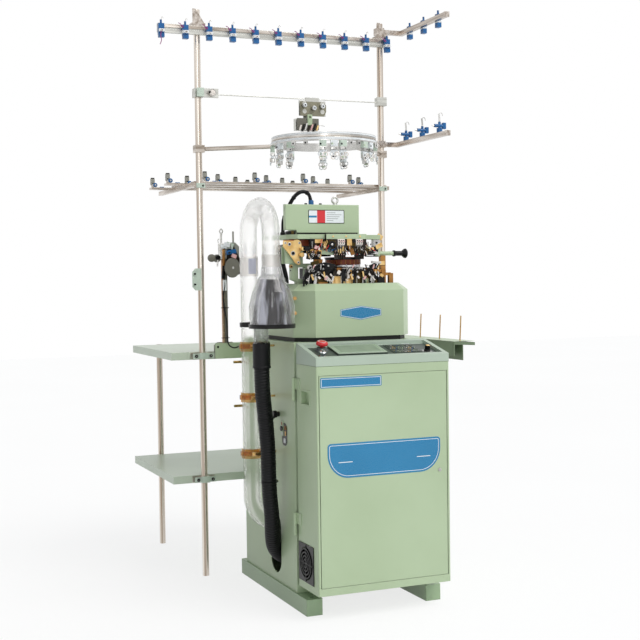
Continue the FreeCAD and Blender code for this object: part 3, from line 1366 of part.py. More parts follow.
def side_tensioner():
    """The small tension device on its post beside the upper shelf."""
    front = shelf_front() - 4
    top = S.upper_shelf_top
    x = -297
    bracket = new_body()
    pad(bracket, "XZ", front, front + 4, [(-344, 838), (-250, 838), (-250, 880), (-270, 901),
                                          (-330, 901), (-344, 890)])
    post = rod("z", x, front - 5, top, 6, 361)
    plate = new_body()
    pad(plate, "XZ", front - 14, front - 10,
        [(-284, 1161), (-250, 1161), (-240, 1176), (-240, 1270), (-256, 1286), (-284, 1286),
         (-306, 1240), (-306, 1200)])
    parts = [bracket, post, plate, block(-340, -300, front - 14, front - 10, 1219, 1231),
             block(-267, -261, front - 14, front - 10, 1280, 1329)]
    for disc_x, height, radius, thick in ((-334, 1225, 15, 12), (-264, 1187, 18, 14)):
        parts.append(turned(None, "y", disc_x, front - 14 - thick, height,
                            [(0, 0), (radius, 0), (radius - 1, 2), (radius * 0.45, thick / 2),
                             (radius - 1, thick - 2), (radius, thick), (0, thick)]))
    keep("side_tensioner", fuse(*parts))


def head_cable():
    """The cable bundle from the head box's top, over its left side to the lifting plate."""
    top = float(BOX_TOP)
    y = float(deep(S.cable_depth))
    plate = float(PLATE_LOW + S.head_plate_thick)
    points = [Vector(-104, y, top), Vector(-104, y, top + 26), Vector(-118, y, top + 50),
              Vector(-150, y, top + 48), Vector(-182, y, top + 18), Vector(-200, y, top - 22),
              Vector(-214, y, top - 62), Vector(-214, y, plate)]
    path, radii = rounded_path(points, None)
    print("head cable bend radii", radii, "length", round(path.Length))
    cable = doc.addObject("Part::Feature", "Cable")
    cable.Shape = sweep(path, 7)
    cable.Placement = Placement()
    keep("head_cable", cable)


# ---------------------------------------------------------------- build and write

base_skids()
body_shell()
bed_plate()
drive()
side_fittings()
cabinet_shell()
grip_cup()
cabinet_door()
console_housing()
console_controls()
hinges()
cooling_fan()
knitting_cover()
needle_head()
head_column()
feeder_parts()
lift_handle()
cam_levers()
suction_duct()
ribbed_hose()
poles()
keep("pole_clamps", group(*shelves(), *top_bar()))
guide_ring()
tension_unit()
yarn_tray()
peg_tray()
side_tensioner()
head_cable()
doc.recompute()

faults = [f"{item.Label} {item.State}" for item in doc.Objects
          if "Invalid" in item.State or "Error" in item.State]
for node in NODES:
    if node.Shape.isNull() or not node.Shape.isValid():
        faults.append(f"{node.Label} has no valid shape")
if faults:
    raise RuntimeError("; ".join(faults))

os.makedirs("parts", exist_ok=True)
for node in NODES:
    node.Shape.exportStep(f"parts/{node.Label}.step")
print(len(NODES), "pieces written")
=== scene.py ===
"""Industrial knitting machine: looks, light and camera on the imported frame.

Forms are given in millimetres: across, behind the console front, and above the floor.
"""

import math

import bmesh
import bpy
from mathutils import Matrix, Vector

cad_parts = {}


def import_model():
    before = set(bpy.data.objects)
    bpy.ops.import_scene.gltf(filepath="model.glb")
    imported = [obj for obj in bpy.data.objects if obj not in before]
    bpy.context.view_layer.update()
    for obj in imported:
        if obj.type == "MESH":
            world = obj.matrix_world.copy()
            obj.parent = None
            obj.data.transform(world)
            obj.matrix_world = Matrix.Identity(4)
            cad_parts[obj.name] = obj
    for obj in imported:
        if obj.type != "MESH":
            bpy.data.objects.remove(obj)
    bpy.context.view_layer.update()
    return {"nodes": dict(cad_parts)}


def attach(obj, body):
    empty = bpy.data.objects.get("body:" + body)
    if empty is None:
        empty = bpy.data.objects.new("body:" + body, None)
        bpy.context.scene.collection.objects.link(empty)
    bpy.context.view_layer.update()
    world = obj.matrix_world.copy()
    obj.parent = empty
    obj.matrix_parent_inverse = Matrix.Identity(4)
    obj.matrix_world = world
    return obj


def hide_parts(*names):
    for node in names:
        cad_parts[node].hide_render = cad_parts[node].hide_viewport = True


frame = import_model()

CONSOLE_FRONT = 425.5
CYLINDER_DEPTH = 330
RING_DEPTH = 492
DUCT = (-341, 383)
WHEEL_COLUMNS = (-395, 377)


# ---- camera

def look(location, yaw, pitch, roll, focal):
    """The camera, turned clockwise from +Y by yaw, down by pitch, then rolled."""
    data = bpy.data.cameras.new("Camera")
    data.sensor_width = 36
    data.lens = focal
    data.clip_end = 60
    camera = bpy.data.objects.new("Camera", data)
    bpy.context.scene.collection.objects.link(camera)
    place = Matrix.Translation(location)
    for degrees, axis in ((-yaw, "Z"), (90 - pitch, "X"), (roll, "Z")):
        place = place @ Matrix.Rotation(math.radians(degrees), 4, axis)
    camera.matrix_world = place
    bpy.context.scene.camera = camera


look(location=(-1.7486, -4.0351, 1.1446), yaw=22.796, pitch=2.025, roll=-0.779, focal=67.01)


# ---- materials

def screen(red, green, blue):
    """Shader colour of a colour given as it shows on a screen, 0 to 255."""
    parts = []
    for part in (red, green, blue):
        part /= 255
        parts.append(part / 12.92 if part <= 0.04045 else ((part + 0.055) / 1.055) ** 2.4)
    return (*parts, 1)


class Nodes:
    """Short forms for the nodes of a material or of the world."""

    def __init__(self, tree):
        self.tree = tree

    def fill(self, node, inputs):
        """Gives each input its value, or a link where a socket is given."""
        for key, value in inputs.items():
            if isinstance(value, bpy.types.NodeSocket):
                self.tree.links.new(value, node.inputs[key])
            else:
                node.inputs[key].default_value = value

    def new(self, kind, output, inputs=None, **settings):
        """Output socket of a new node."""
        node = self.tree.nodes.new(f"ShaderNode{kind}")
        for key, value in settings.items():
            setattr(node, key, value)
        self.fill(node, inputs or {})
        return node.outputs[output] if output is not None else None

    def dress(self, inputs):
        """Inputs of the surface shader itself."""
        self.fill(self.tree.nodes["Principled BSDF"], inputs)

    def math(self, operation, first, second, **settings):
        return self.new("Math", "Value", {0: first, 1: second}, operation=operation, **settings)

    def mapped(self, **inputs):
        """Object coordinates, scaled or turned."""
        place = self.new("TexCoord", "Object")
        return self.new("Mapping", "Vector", {"Vector": place, **inputs})

    def noise(self, scale, detail=3, stretch=(1, 1, 1)):
        return self.new("TexNoise", "Fac", {"Vector": self.mapped(Scale=stretch), "Scale": scale,
                                            "Detail": detail})

    def ramp(self, fac, *stops):
        """Colours between stops of (position, colour)."""
        colour = self.new("ValToRGB", "Color", {"Fac": fac})
        band = colour.node.color_ramp
        while len(band.elements) < len(stops):
            band.elements.new(0.5)
        for element, (position, shade) in zip(band.elements, stops):
            element.position = position
            element.color = shade
        return colour

    def span(self, value, low, high, start=0.3, end=0.7):
        """A value from start to end, spread from low to high."""
        return self.new("MapRange", "Result", {"Value": value, "From Min": start, "From Max": end,
                                               "To Min": low, "To Max": high})

    def edges(self, radius):
        """Rounded-edge normal and a mask that is 1 on the edges themselves."""
        soft = self.new("Bevel", "Normal", {"Radius": radius}, samples=4)
        facing = self.new("VectorMath", "Value", {0: soft, 1: self.new("NewGeometry", "Normal")},
                          operation="DOT_PRODUCT")
        return soft, self.span(facing, 1, 0, 0.86, 0.99)

    def bump(self, height, strength, distance, **normal):
        self.dress({"Normal": self.new("Bump", "Normal", {"Height": height, "Strength": strength,
                                                          "Distance": distance, **normal})})

    def rays(self, operation, *kinds):
        """One for the rays of these kinds."""
        seen = [self.new("LightPath", f"Is {kind} Ray") for kind in kinds]
        return self.math(operation, self.math(operation, seen[0], seen[1]), seen[2])


def material(name):
    """A fresh material and its nodes."""
    fresh = bpy.data.materials.new(name)
    fresh.use_nodes = True
    return fresh, Nodes(fresh.node_tree)


def surface(name, dark, light, rough=(0.35, 0.5), patch=4, grain=600, stretch=(1, 1, 1),
            bump=0.15, height=0.0002, edge=0, worn=None, **sockets):
    """A material with slow colour drift, fine grain, soft edges and a little edge wear."""
    fresh, nodes = material(name)
    colour = nodes.ramp(nodes.noise(patch, 4, stretch), (0.34, dark), (0.66, light))
    fine = nodes.noise(grain, 2, stretch)
    normal = {}
    if edge:
        normal["Normal"], mask = nodes.edges(edge)
    if worn:
        spots = nodes.span(nodes.noise(35, 5), 0, 0.8, 0.42, 0.62)
        share = nodes.math("MULTIPLY", mask, spots)
        colour = nodes.new("Mix", 2, {0: share, 6: colour, 7: worn}, data_type="RGBA")
    nodes.bump(fine, bump, height, **normal)
    nodes.dress({"Base Color": colour, "Roughness": nodes.span(fine, *rough)})
    nodes.dress({key.replace("_", " "): value for key, value in sockets.items()})
    return fresh


def painted(name, *colour, **options):
    """Sprayed enamel with a slight orange peel and paler worn edges."""
    red, green, blue = colour
    settings = dict(rough=(0.30, 0.42), patch=3, grain=420, bump=0.12, height=0.00025, edge=0.0014,
                    worn=screen(min(red + 34, 235), min(green + 30, 238), min(blue + 34, 232)))
    settings.update(options)
    return surface(name, screen(red - 4, green - 4, blue - 5), screen(red + 3, green + 3, blue + 3),
                   **settings)


def metal(name, dark, light, **options):
    """Bare metal with grain along its working direction."""
    settings = dict(rough=(0.22, 0.38), patch=14, grain=260, bump=0.10, height=0.0001,
                    edge=0.0007, Metallic=1)
    settings.update(options)
    return surface(name, screen(*dark), screen(*light), **settings)


def plastic(name, *colour, **options):
    """Moulded plastic with a faint texture."""
    settings = dict(rough=(0.28, 0.40), patch=20, grain=900, bump=0.08, height=0.0001,
                    edge=0.0006)
    settings.update(options)
    return surface(name, screen(*(max(part - 5, 0) for part in colour)),
                   screen(*(min(part + 5, 255) for part in colour)), **settings)


def flat(name, *colour, **options):
    """Enamel without wear, for small plates."""
    return painted(name, *colour, **{"edge": 0, "worn": None, "rough": (0.30, 0.40), **options})


SAGE = painted("paint_sage", 171, 189, 156)
# The shelves take the sage paint lightened to the pale tone of their lit tops: painted light over their real
# green paint.
SHELF_SAGE_LIT = painted("paint_shelf", 196, 208, 190)
CONSOLE = painted("paint_console", 172, 187, 172, rough=(0.40, 0.52), grain=900)
SKID = painted("paint_skid", 152, 174, 141)
ENAMEL_BLUE = flat("enamel_blue", 36, 122, 168, edge=0.0004, rough=(0.22, 0.34))
ENAMEL_WHITE = flat("enamel_white", 226, 232, 234)
ENAMEL_RED = flat("enamel_red", 208, 44, 50)
# The pole's colour runs in long streaks from warm brown to near white: painted reflection streaks along the
# polished tube.
POLE = metal("steel_pole", (152, 133, 114), (242, 235, 226), stretch=(9, 9, 0.05), grain=24)
STEEL = metal("steel_bright", (176, 175, 172), (214, 213, 210))
DARK_STEEL = metal("steel_dark", (34, 31, 29), (66, 60, 55), rough=(0.28, 0.5))
IRON = surface("iron_cast", screen(22, 24, 22), screen(38, 40, 36), rough=(0.45, 0.65), grain=350,
               bump=0.35, height=0.0004, edge=0.001, Metallic=0.4)
BRASS = metal("brass_turned", (168, 128, 72), (205, 170, 112))
GOLD = metal("gold_chromate", (204, 166, 104), (238, 208, 148), patch=30, rough=(0.34, 0.5))
BRONZE = metal("bronze_dark", (104, 70, 38), (150, 106, 58), patch=26, rough=(0.34, 0.5))
OCHRE = metal("bronze_warm", (140, 98, 54), (182, 134, 78), patch=26, rough=(0.36, 0.5))
ARM = metal("steel_arm", (150, 138, 126), (216, 208, 200), stretch=(6, 0.3, 6), grain=90)
TRAY = metal("tray_steel", (152, 140, 127), (218, 210, 201), stretch=(0.5, 0.5, 6), grain=90)
CLAMP = painted("clamp_green", 190, 204, 190, edge=0.0006)
MAGENTA = plastic("wire_magenta", 140, 44, 118)
SHEEN = plastic("plastic_pearl", 222, 226, 228, rough=(0.16, 0.26))
DISC = painted("disc_grey", 104, 102, 92, edge=0.0006, rough=(0.4, 0.55))
PLATE = painted("plate_olive", 136, 132, 112, edge=0.0006, rough=(0.4, 0.55))
POST = plastic("post_grey", 150, 150, 141)
BROWN = metal("steel_brown", (150, 118, 96), (196, 168, 148), stretch=(6, 6, 0.2), grain=160)
LAVENDER = plastic("patch_lavender", 172, 174, 188)
# Darker copy of the sage paint: painted shade on the peg tray, and the console's seam line.
SHADE_AND_SEAM = painted("paint_deep", 104, 120, 94)
RUST = surface("enamel_rust", screen(84, 34, 16), screen(124, 54, 26), rough=(0.3, 0.45), patch=18,
               grain=300, edge=0.001, Metallic=0.2, Specular_IOR_Level=0.3)
OLIVE = metal("bronze_olive", (52, 44, 26), (86, 72, 40), patch=26, rough=(0.34, 0.5))
CREAM = plastic("bracket_cream", 224, 212, 164)
BLUE = plastic("plastic_blue", 2, 90, 150)
BLACK = plastic("plastic_black", 10, 10, 11, rough=(0.22, 0.34), Specular_IOR_Level=0.25)
RED = plastic("plastic_red", 206, 38, 44, rough=(0.16, 0.24))
WHITE = plastic("ceramic_white", 226, 218, 210)
PINK = plastic("ceramic_pink", 214, 168, 166)
GREY = painted("paint_motor", 92, 98, 98, rough=(0.45, 0.6))
RUBBER = surface("rubber_black", screen(6, 7, 9), screen(13, 14, 17), rough=(0.34, 0.48), patch=30,
                 grain=500, bump=0.2, height=0.0002, Specular_IOR_Level=0.22)
CHROME = metal("chrome_key", (196, 198, 204), (228, 230, 234), rough=(0.08, 0.16))
BAR = metal("aluminium_bar", (178, 178, 172), (212, 212, 206), stretch=(0.3, 6, 6), grain=120,
            rough=(0.34, 0.46))
PANEL = plastic("membrane_dark", 62, 72, 66, rough=(0.34, 0.46))
LENS = plastic("screen_cover", 150, 168, 146, rough=(0.14, 0.22))
SCREEN = surface("screen_grey", screen(118, 134, 118), screen(140, 156, 136), rough=(0.1, 0.16),
                 patch=9, grain=200, bump=0.02)


def clear(name, tint, rough, grain=60, **sockets):
    """Clear or frosted plastic whose thickness varies a little."""
    fresh, nodes = material(name)
    shade = nodes.ramp(nodes.noise(8), (0.3, screen(*(part - 8 for part in tint))),
                       (0.7, screen(*tint)))
    wave = nodes.noise(grain, 2)
    nodes.bump(wave, 0.025, 0.001)
    nodes.dress({"Base Color": shade, "Roughness": nodes.span(wave, rough * 0.7, rough * 1.3),
                 "Transmission Weight": 1, "IOR": 1.32, **sockets})
    return fresh


CLEAR = clear("plastic_clear", (254, 254, 252), 0.06, Alpha=0.42)
FUNNEL = clear("plastic_funnel", (250, 250, 252), 0.04, IOR=1.5, Alpha=0.55)
FROST = clear("plastic_frost", (244, 241, 238), 0.4, IOR=1.2, Alpha=0.45)
AMBER = clear("plastic_amber", (230, 176, 100), 0.18, IOR=1.4, Alpha=0.82)
SMOKED = clear("plastic_smoked", (206, 210, 206), 0.22, grain=120, Alpha=0.7)


def netting():
    """Fine dark gauze; its brightest folds are painted silvery highlight streaks."""
    fresh, nodes = material("net_dark")
    threads = []
    for turn, way in ((0, "X"), (1.5708, "Z")):
        place = nodes.mapped(Rotation=(turn, 0.4, turn))
        threads.append(nodes.new("TexWave", "Fac", {"Vector": place, "Scale": 260.0},
                                 wave_type="BANDS", bands_direction=way))
    folds_and_highlights = nodes.noise(9, 3, (3.4, 3.4, 0.35))
    nodes.bump(nodes.math("MAXIMUM", *threads), 0.25, 0.0003)
    # The ramp's pale stop paints highlight streaks along the folds into the gauze colour.
    nodes.dress({"Base Color": nodes.ramp(folds_and_highlights, (0.40, screen(14, 12, 12)), (0.54, screen(34, 31, 32)),
                                          (0.64, screen(186, 188, 198))),
                 "Roughness": nodes.span(folds_and_highlights, 0.24, 0.46), "Metallic": 0.25})
    return fresh


NET = netting()

LOOKS = {
    SAGE: ["body_shell", "cabinet_shell", "cabinet_door", "knitting_cover", "head_box", "head_plate",
           "head_column", "body_hinge_leaves", "cabinet_hinge_leaves", "lift_handle", "pivot_bracket"],
    # Shelves in the lightened sage: painted light of their tops.
    SHELF_SAGE_LIT: ["creel_shelves"],
    # Peg tray in the darker sage: painted shade; its top gets a sage skin further down.
    SHADE_AND_SEAM: ["peg_tray"],
    CONSOLE: ["console_housing"],
    SKID: ["base_skids"],
    PANEL: ["control_panel"],
    POLE: ["creel_poles"],
    STEEL: ["guide_ring", "sinker_ring", "door_lock", "motor_pulley", "cylinder_shaft"],
    DARK_STEEL: ["needle_cylinder", "yarn_fingers"],
    CHROME: ["key_switch"],
    BAR: ["creel_bar", "tension_unit"],
    ARM: ["right_arms", "pole_clamps"],
    TRAY: ["yarn_tray", "ring_arms"],
    POST: ["side_tensioner"],
    IRON: ["bed_plate", "cylinder_housing", "cam_ring"],
    OCHRE: ["rest_post", "cam_levers"],
    BRASS: ["yarn_pegs"],
    AMBER: ["duct_clips"],
    RUST: ["dial_drum"],
    BLUE: ["yarn_feeders"],
    BLACK: ["fan_guard", "fan_housing", "fan_rotor", "funnel_base", "handle_grip", "rotary_knob",
            "selector_solenoids", "side_knob", "side_latch"],
    RED: ["stop_button"],
    GREY: ["drive_motor", "suction_manifold"],
    RUBBER: ["drive_belt", "head_cable", "ribbed_hose"],
    CLEAR: ["suction_duct"],
    FUNNEL: ["duct_funnel"],
    SMOKED: ["hose_connector"],
    NET: ["lint_filter"],
}
for skin, names in LOOKS.items():
    for name in names:
        slots = frame["nodes"][name].data.materials
        slots.clear()
        slots.append(skin)


# ---- building meshes

def metres(point):
    """Scene point from one in millimetres."""
    x, depth, height = point
    return x / 1000, (depth - CONSOLE_FRONT) / 1000, height / 1000


def axes_at(origin, out=(0, 0, 1), across=(1, 0, 0)):
    """Frame with its Z axis along out and its X axis as near across as that allows."""
    out = Vector(out).normalized()
    across = Vector(across)
    across = (across - out * across.dot(out)).normalized()
    turn = Matrix((across, out.cross(across), out)).transposed().to_4x4()
    return Matrix.Translation(origin) @ turn


def facing(x, depth, height):
    """Axes on a face that looks to the front: X across, Y up, Z towards the front."""
    return axes_at((x, depth, height), (0, -1, 0))


def upright(x, depth):
    """Axes on an upright line, from the floor."""
    return axes_at((x, depth, 0))


def turned(at, degrees):
    """The same axes turned about their own Z."""
    return at @ Matrix.Rotation(math.radians(degrees), 4, "Z")


def inset(points, distance):
    """An outline, anticlockwise, drawn in by a distance."""
    result = []
    for i, point in enumerate(points):
        before = (Vector(point) - Vector(points[i - 1])).normalized()
        after = (Vector(points[(i + 1) % len(points)]) - Vector(point)).normalized()
        way = Vector((-before.y - after.y, before.x + after.x))
        shift = way / way.length * distance / max(way.length / 2, 0.4)
        result.append((point[0] + shift.x, point[1] + shift.y))
    return result


def arc(radius, start, end, steps, x=0, y=0):
    """Points on an arc between two angles in degrees."""
    points = []
    for step in range(steps + 1):
        angle = math.radians(start + (end - start) * step / steps)
        points.append((x + math.cos(angle) * radius, y + math.sin(angle) * radius))
    return points


def circle(radius, steps=24):
    """Points on a whole circle, the first one not repeated."""
    return arc(radius, 0, 360, steps)[:-1]


def rounded(width, height, radius, steps=5, x=0, y=0):
    """A rectangle about a point, with round corners."""
    points = []
    for corner, (side, end) in enumerate(((1, -1), (1, 1), (-1, 1), (-1, -1))):
        points += arc(radius, corner * 90 - 90, corner * 90, steps,
                      x + side * (width / 2 - radius), y + end * (height / 2 - radius))
    return points


class Piece:
    """One piece of the scene, gathered from turned, extruded and swept forms."""

    def __init__(self, place=Matrix()):
        self.mesh = bmesh.new()
        self.materials = []
        self.place = place

    def move(self, x=0, depth=0, height=0, turn=0):
        """Later forms are given from this place, turned by degrees about the upright."""
        self.place = turned(axes_at((x, depth, height)), turn)

    def skin(self, rings, material, closed=True):
        """Faces between rings of points; the first and last ring may be capped."""
        rows = [[self.mesh.verts.new(metres(point)) for point in ring] for ring in rings]
        faces = []
        for low, high in zip(rows, rows[1:]):
            for i in range(len(low)):
                j = (i + 1) % len(low)
                faces.append((low[i], low[j], high[j], high[i]))
        if closed:
            faces += [rows[0][::-1], rows[-1]]
        if material not in self.materials:
            self.materials.append(material)
        for corners in faces:
            self.mesh.faces.new(corners).material_index = self.materials.index(material)

    def stack(self, levels, material, at=Matrix(), closed=True):
        """Faces over outlines at their heights along Z."""
        at = self.place @ at
        self.skin([[at @ Vector((x, y, height)) for x, y in outline] for outline, height in levels],
                  material, closed)

    def lathe(self, profile, material, steps=24, at=Matrix(), closed=True):
        """A turned form; profile points are (radius, height)."""
        self.stack([(circle(max(radius, 0.02), steps), height) for radius, height in profile],
                   material, at, closed)

    def hoop(self, profile, material, steps=48):
        """A turned ring, open in the middle."""
        self.lathe(profile + profile[:1], material, steps, closed=False)

    def wrap(self, material, radius, angles, low, high, thick=0.8):
        """A thin shell around the upright, between two angles and two heights."""
        rims = [arc(size, *angles, 24) for size in (radius, radius + thick)]
        rings = [((*inner, low), (*inner, high), (*outer, high), (*outer, low))
                 for inner, outer in zip(*rims)]
        self.skin([[self.place @ Vector(point) for point in ring] for ring in rings], material)

    def slab(self, outline, low, high, material, soft=0, at=Matrix()):
        """An outline made solid between two heights, with chamfered rims."""
        levels = [(outline, low + soft), (outline, high - soft)]
        if soft:
            inner = inset(outline, soft)
            levels = [(inner, low), *levels, (inner, high)]
        self.stack(levels, material, at)

    def band(self, outline, width, low, high, material):
        """A flat line that follows an outline on the inside."""
        inner = inset(outline, width)
        self.stack([(outline, low), (outline, high), (inner, high), (inner, low)], material, closed=False)

    def part(self, material, across, depth, height, tilt=0, soft=0.7):
        """A block between three pairs of sides, turned by tilt degrees about its depth."""
        sides = (across, depth, height)
        half = [(high - low) / 2 for low, high in sides]
        place = Matrix.Translation([(low + high) / 2 for low, high in sides])
        soft = min(soft, min(half[:2]) * 0.8)
        self.slab(rounded(half[0] * 2, half[1] * 2, soft, 2), -half[2], half[2], material, soft * 0.6,
                  place @ Matrix.Rotation(math.radians(tilt), 4, "Y"))

    def parts(self, *rows):
        """Blocks, one for each row of part's values."""
        for row in rows:
            self.part(*row)

    def tube(self, points, size, material, sides=8):
        """A round bar along points; size is its radius, or one for each point."""
        points = [self.place @ Vector(point) for point in points]
        side = None
        rings = []
        for i, point in enumerate(points):
            way = (points[min(i + 1, len(points) - 1)] - points[max(i - 1, 0)]).normalized()
            if side is None:
                side = way.orthogonal().normalized()
            side = (side - way * side.dot(way)).normalized()
            other = way.cross(side)
            radius = size[i] if isinstance(size, list) else size
            rings.append([point + side * x * radius + other * y * radius for x, y in circle(1, sides)])
        self.skin(rings, material)

    def eye(self, material, radius, size, at, steps=18, sides=8):
        """A bar bent into a ring about the Z axis."""
        self.tube([at @ Vector((x, y, 0)) for x, y in arc(radius, 0, 360, steps)], size, material, sides)

    def disc(self, material, x, depth, z, radius, rim=0, steps=22):
        """A turned disc that faces the front; depth is its front and back."""
        thick = depth[1] - depth[0]
        self.lathe([(radius - 0.4, 0), (radius, 0.5), (radius, thick - 0.5), (radius - 0.6, thick),
                    (rim, thick)], material, steps, facing(x, depth[1], z))

    def wire(self, material, points, radius, sides=7):
        """A thin bar or wire on a smooth line through points."""
        self.tube(curved(points, 5), radius, material, sides)

    def bolt(self, material, x, depth, z, radius):
        """A hexagon screw head on a face at that depth, pointing to the front."""
        self.slab(circle(radius, 6), 0, radius * 0.7, material, 0.3, facing(x, depth, z))

    def finish(self, name, body="machine_base", smooth=40):
        """The object, riding on a body; edges sharper than smooth degrees stay sharp."""
        bmesh.ops.recalc_face_normals(self.mesh, faces=self.mesh.faces[:])
        data = bpy.data.meshes.new(name)
        self.mesh.to_mesh(data)
        self.mesh.free()
        for material in self.materials:
            data.materials.append(material)
        data.shade_smooth()
        data.set_sharp_from_angle(angle=math.radians(smooth))
        item = bpy.data.objects.new(name, data)
        bpy.context.scene.collection.objects.link(item)
        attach(item, body)
        return item


def curved(points, steps=6):
    """Points on a smooth line through the given ones."""
    points = [Vector(point) for point in points]
    padded = [points[0] * 2 - points[1]] + points + [points[-1] * 2 - points[-2]]
    line = []
    for a, b, c, d in zip(padded, padded[1:], padded[2:], padded[3:]):
        for step in range(steps):
            t = step / steps
            line.append(0.5 * (2 * b + (c - a) * t + (2 * a - 5 * b + 4 * c - d) * t * t
                               + (3 * b - a - 3 * c + d) * t ** 3))
    line.append(points[-1])
    return line


def spline_points(route):
    """Points along the smooth spline that has the route as its control points."""
    data = bpy.data.curves.new("route", "CURVE")
    data.dimensions = "3D"
    data.resolution_u = 24
    spline = data.splines.new("NURBS")
    spline.points.add(len(route) - 1)
    for point, place in zip(spline.points, route):
        point.co = (*place, 1)
    spline.order_u = 3
    spline.use_endpoint_u = True
    item = bpy.data.objects.new("route", data)
    bpy.context.scene.collection.objects.link(item)
    bpy.context.view_layer.update()
    mesh = bpy.data.meshes.new_from_object(item)
    points = [vertex.co.copy() for vertex in mesh.vertices]
    bpy.data.objects.remove(item)
    bpy.data.meshes.remove(mesh)
    bpy.data.curves.remove(data)
    return points


def along(points, count):
    """The same line divided into equal lengths."""
    lengths = [0.0]
    for a, b in zip(points, points[1:]):
        lengths.append(lengths[-1] + (b - a).length)
    result = []
    index = 0
    for number in range(count + 1):
        want = lengths[-1] * number / count
        while index < len(points) - 2 and lengths[index + 1] < want:
            index += 1
        part = (want - lengths[index]) / max(lengths[index + 1] - lengths[index], 1e-9)
        result.append(points[index].lerp(points[index + 1], part))
    return result


# ---- hose and cables

HOSE_ROUTE = [
    (-346, 252, 837), (-346, 252, 772), (-331, 276, 700), (-317, 294, 620), (-311, 297, 540),
    (-309, 300, 460), (-304, 306, 380), (-295, 310, 305), (-288, 330, 245), (-273, 362, 190),
    (-242, 388, 152), (-205, 394, 135), (-125, 394, 135)]
CABLE_ROUTE = [
    (-104, 372, 1405), (-104, 372, 1431), (-118, 372, 1455), (-150, 372, 1453), (-182, 372, 1423),
    (-200, 372, 1383), (-214, 372, 1343), (-214, 372, 1298)]
HOSE_RADIUS = 25.4
HOSE_RIBS = 88
RIB_STEPS = 6
RIB_HEIGHT = 1.9


def collar(inner, outer, half, neck):
    """Profile of a collar about a hose or cable."""
    return [(inner, -half), (outer, -neck), (outer, neck), (inner, half)]


def ribbed_hose():
    """The black suction hose with its ribs and two ties."""
    points = along(spline_points(HOSE_ROUTE), HOSE_RIBS * RIB_STEPS)
    hose = Piece()
    hose.tube(points, [HOSE_RADIUS + RIB_HEIGHT * math.sin(math.pi * (i % RIB_STEPS) / RIB_STEPS) ** 0.7
                       for i in range(len(points))], RUBBER, 30)
    for height in (655, 430):
        index = min(range(2, len(points) - 2), key=lambda i: abs(points[i].z - height))
        hose.place = axes_at(points[index], points[index + 2] - points[index - 2])
        hose.lathe(collar(27.2, 28.8, 3.5, 3), BLACK, 30)
        hose.part(BLACK, (26, 34), (-4, 4), (-4, 4), 0, 1)
    item = hose.finish("suction_hose", smooth=60)
    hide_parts("ribbed_hose")


def head_cable():
    """The cable bundle over the head box with its blue plug and black gland."""
    last = 70
    line = along(spline_points(CABLE_ROUTE), last)
    bundle = Piece()
    for number in range(5):
        strand = []
        for i, point in enumerate(line):
            way = (line[min(i + 1, last)] - line[max(i - 1, 0)]).normalized()
            side = Vector((0, 1, 0))
            other = way.cross(side)
            angle = number * math.tau / 5 + i * 0.05
            spread = 4.4 + 1.2 * math.sin(i * 0.21 + number)
            strand.append(point + (side * math.cos(angle) + other * math.sin(angle)) * spread)
        bundle.tube(strand, 2.7, RUBBER if number % 2 else BLACK, 8)
    for share in (14, 30, 52):
        bundle.lathe(collar(6.6, 8.4, 3, 2.5), BLACK, 16,
                     axes_at(line[share], line[share + 1] - line[share - 1]))
    bundle.lathe([(0, 0), (9.5, 0), (9.5, 16), (7.5, 20), (0, 20)], BLUE, 18, axes_at(line[0]))
    bundle.lathe([(0, 0), (11, 0), (11, 9), (8.5, 12), (0, 12)], BLACK, 6, axes_at(line[-1]))
    item = bundle.finish("head_cable_bundle", "head_body", 50)
    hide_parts("head_cable")


ribbed_hose()
head_cable()


# ---- door, cover and box plates

def bare_plate(outline, x, depth, height, line=6):
    """A blue enamelled plate with a thin white line round it."""
    plate = Piece(facing(x, depth, height))
    plate.slab(outline, 0, 0.8, ENAMEL_BLUE, 0.3)
    plate.band(inset(outline, line), 1.6, 0.6, 0.95, ENAMEL_WHITE)
    return plate


def door_plates():
    """Two bare plates on the door."""
    bare_plate(rounded(224, 34, 4), -122, 0, 797, 3).finish("door_name_plate", "front_door")
    right = [(134 + x * 77 / 80, y) for x, y in arc(80, -90, 0, 12, 0, -1)] + arc(12, 0, 90, 5, 199, 24)
    plate = bare_plate(right + [(-x, y) for x, y in right[::-1]], 0, 0, 558)
    for x in (-146, 146):
        plate.slab(rounded(52, 2.4, 1, 2, x, -28), 0.7, 0.95, ENAMEL_WHITE)
    plate.finish("door_badge", "front_door")


def cover_badge():
    """The bare six-sided plate on the upper cover."""
    outline = [(0, -24.5), (79, -10.5), (79, 12.5), (0, 24.5), (-79, 12.5), (-79, -10.5)]
    bare_plate(outline, 0, 180, 1020.5, 1.8).finish("cover_badge")


def box_label():
    """The white plate with a red field on the head box."""
    plate = Piece(facing(-75.5, 300, 1362))
    outline = rounded(139, 48, 3)
    plate.slab(outline, 0, 0.8, ENAMEL_WHITE, 0.2)
    plate.band(outline, 2.2, 0.6, 1.1, BLACK)
    plate.slab(rounded(31, 43.6, 0.5, 2, -20.5), 0.6, 0.95, ENAMEL_RED)
    plate.slab(rounded(30, 7, 0.5, 2, -52.5), 0.6, 0.95, ENAMEL_BLUE)
    for row, width in enumerate((34, 58, 50, 44, 26)):
        plate.slab(rounded(width, 1.4, 0.4, 2, 1 + width / 2, 14 - row * 7), 0.6, 0.9, GREY)
    plate.finish("box_label", "head_body")


door_plates()
cover_badge()
box_label()


# ---- console

SLOPE = math.radians(13.7)
PANEL_OUT = Vector((0, -math.sin(SLOPE), math.cos(SLOPE)))
PANEL_BACK = Vector((0, math.cos(SLOPE), math.sin(SLOPE)))
PANEL_HEIGHT = 868.3
KEY_HUES = (BLUE, SAGE, GOLD, SAGE, POST, GOLD, SAGE, WHITE)


def on_panel(x, depth, lift=1.7):
    """Axes on the sunk console panel: across, up its slope, and off its face."""
    return axes_at(Vector((x, 0, PANEL_HEIGHT)) + PANEL_BACK * depth + PANEL_OUT * lift, PANEL_OUT)


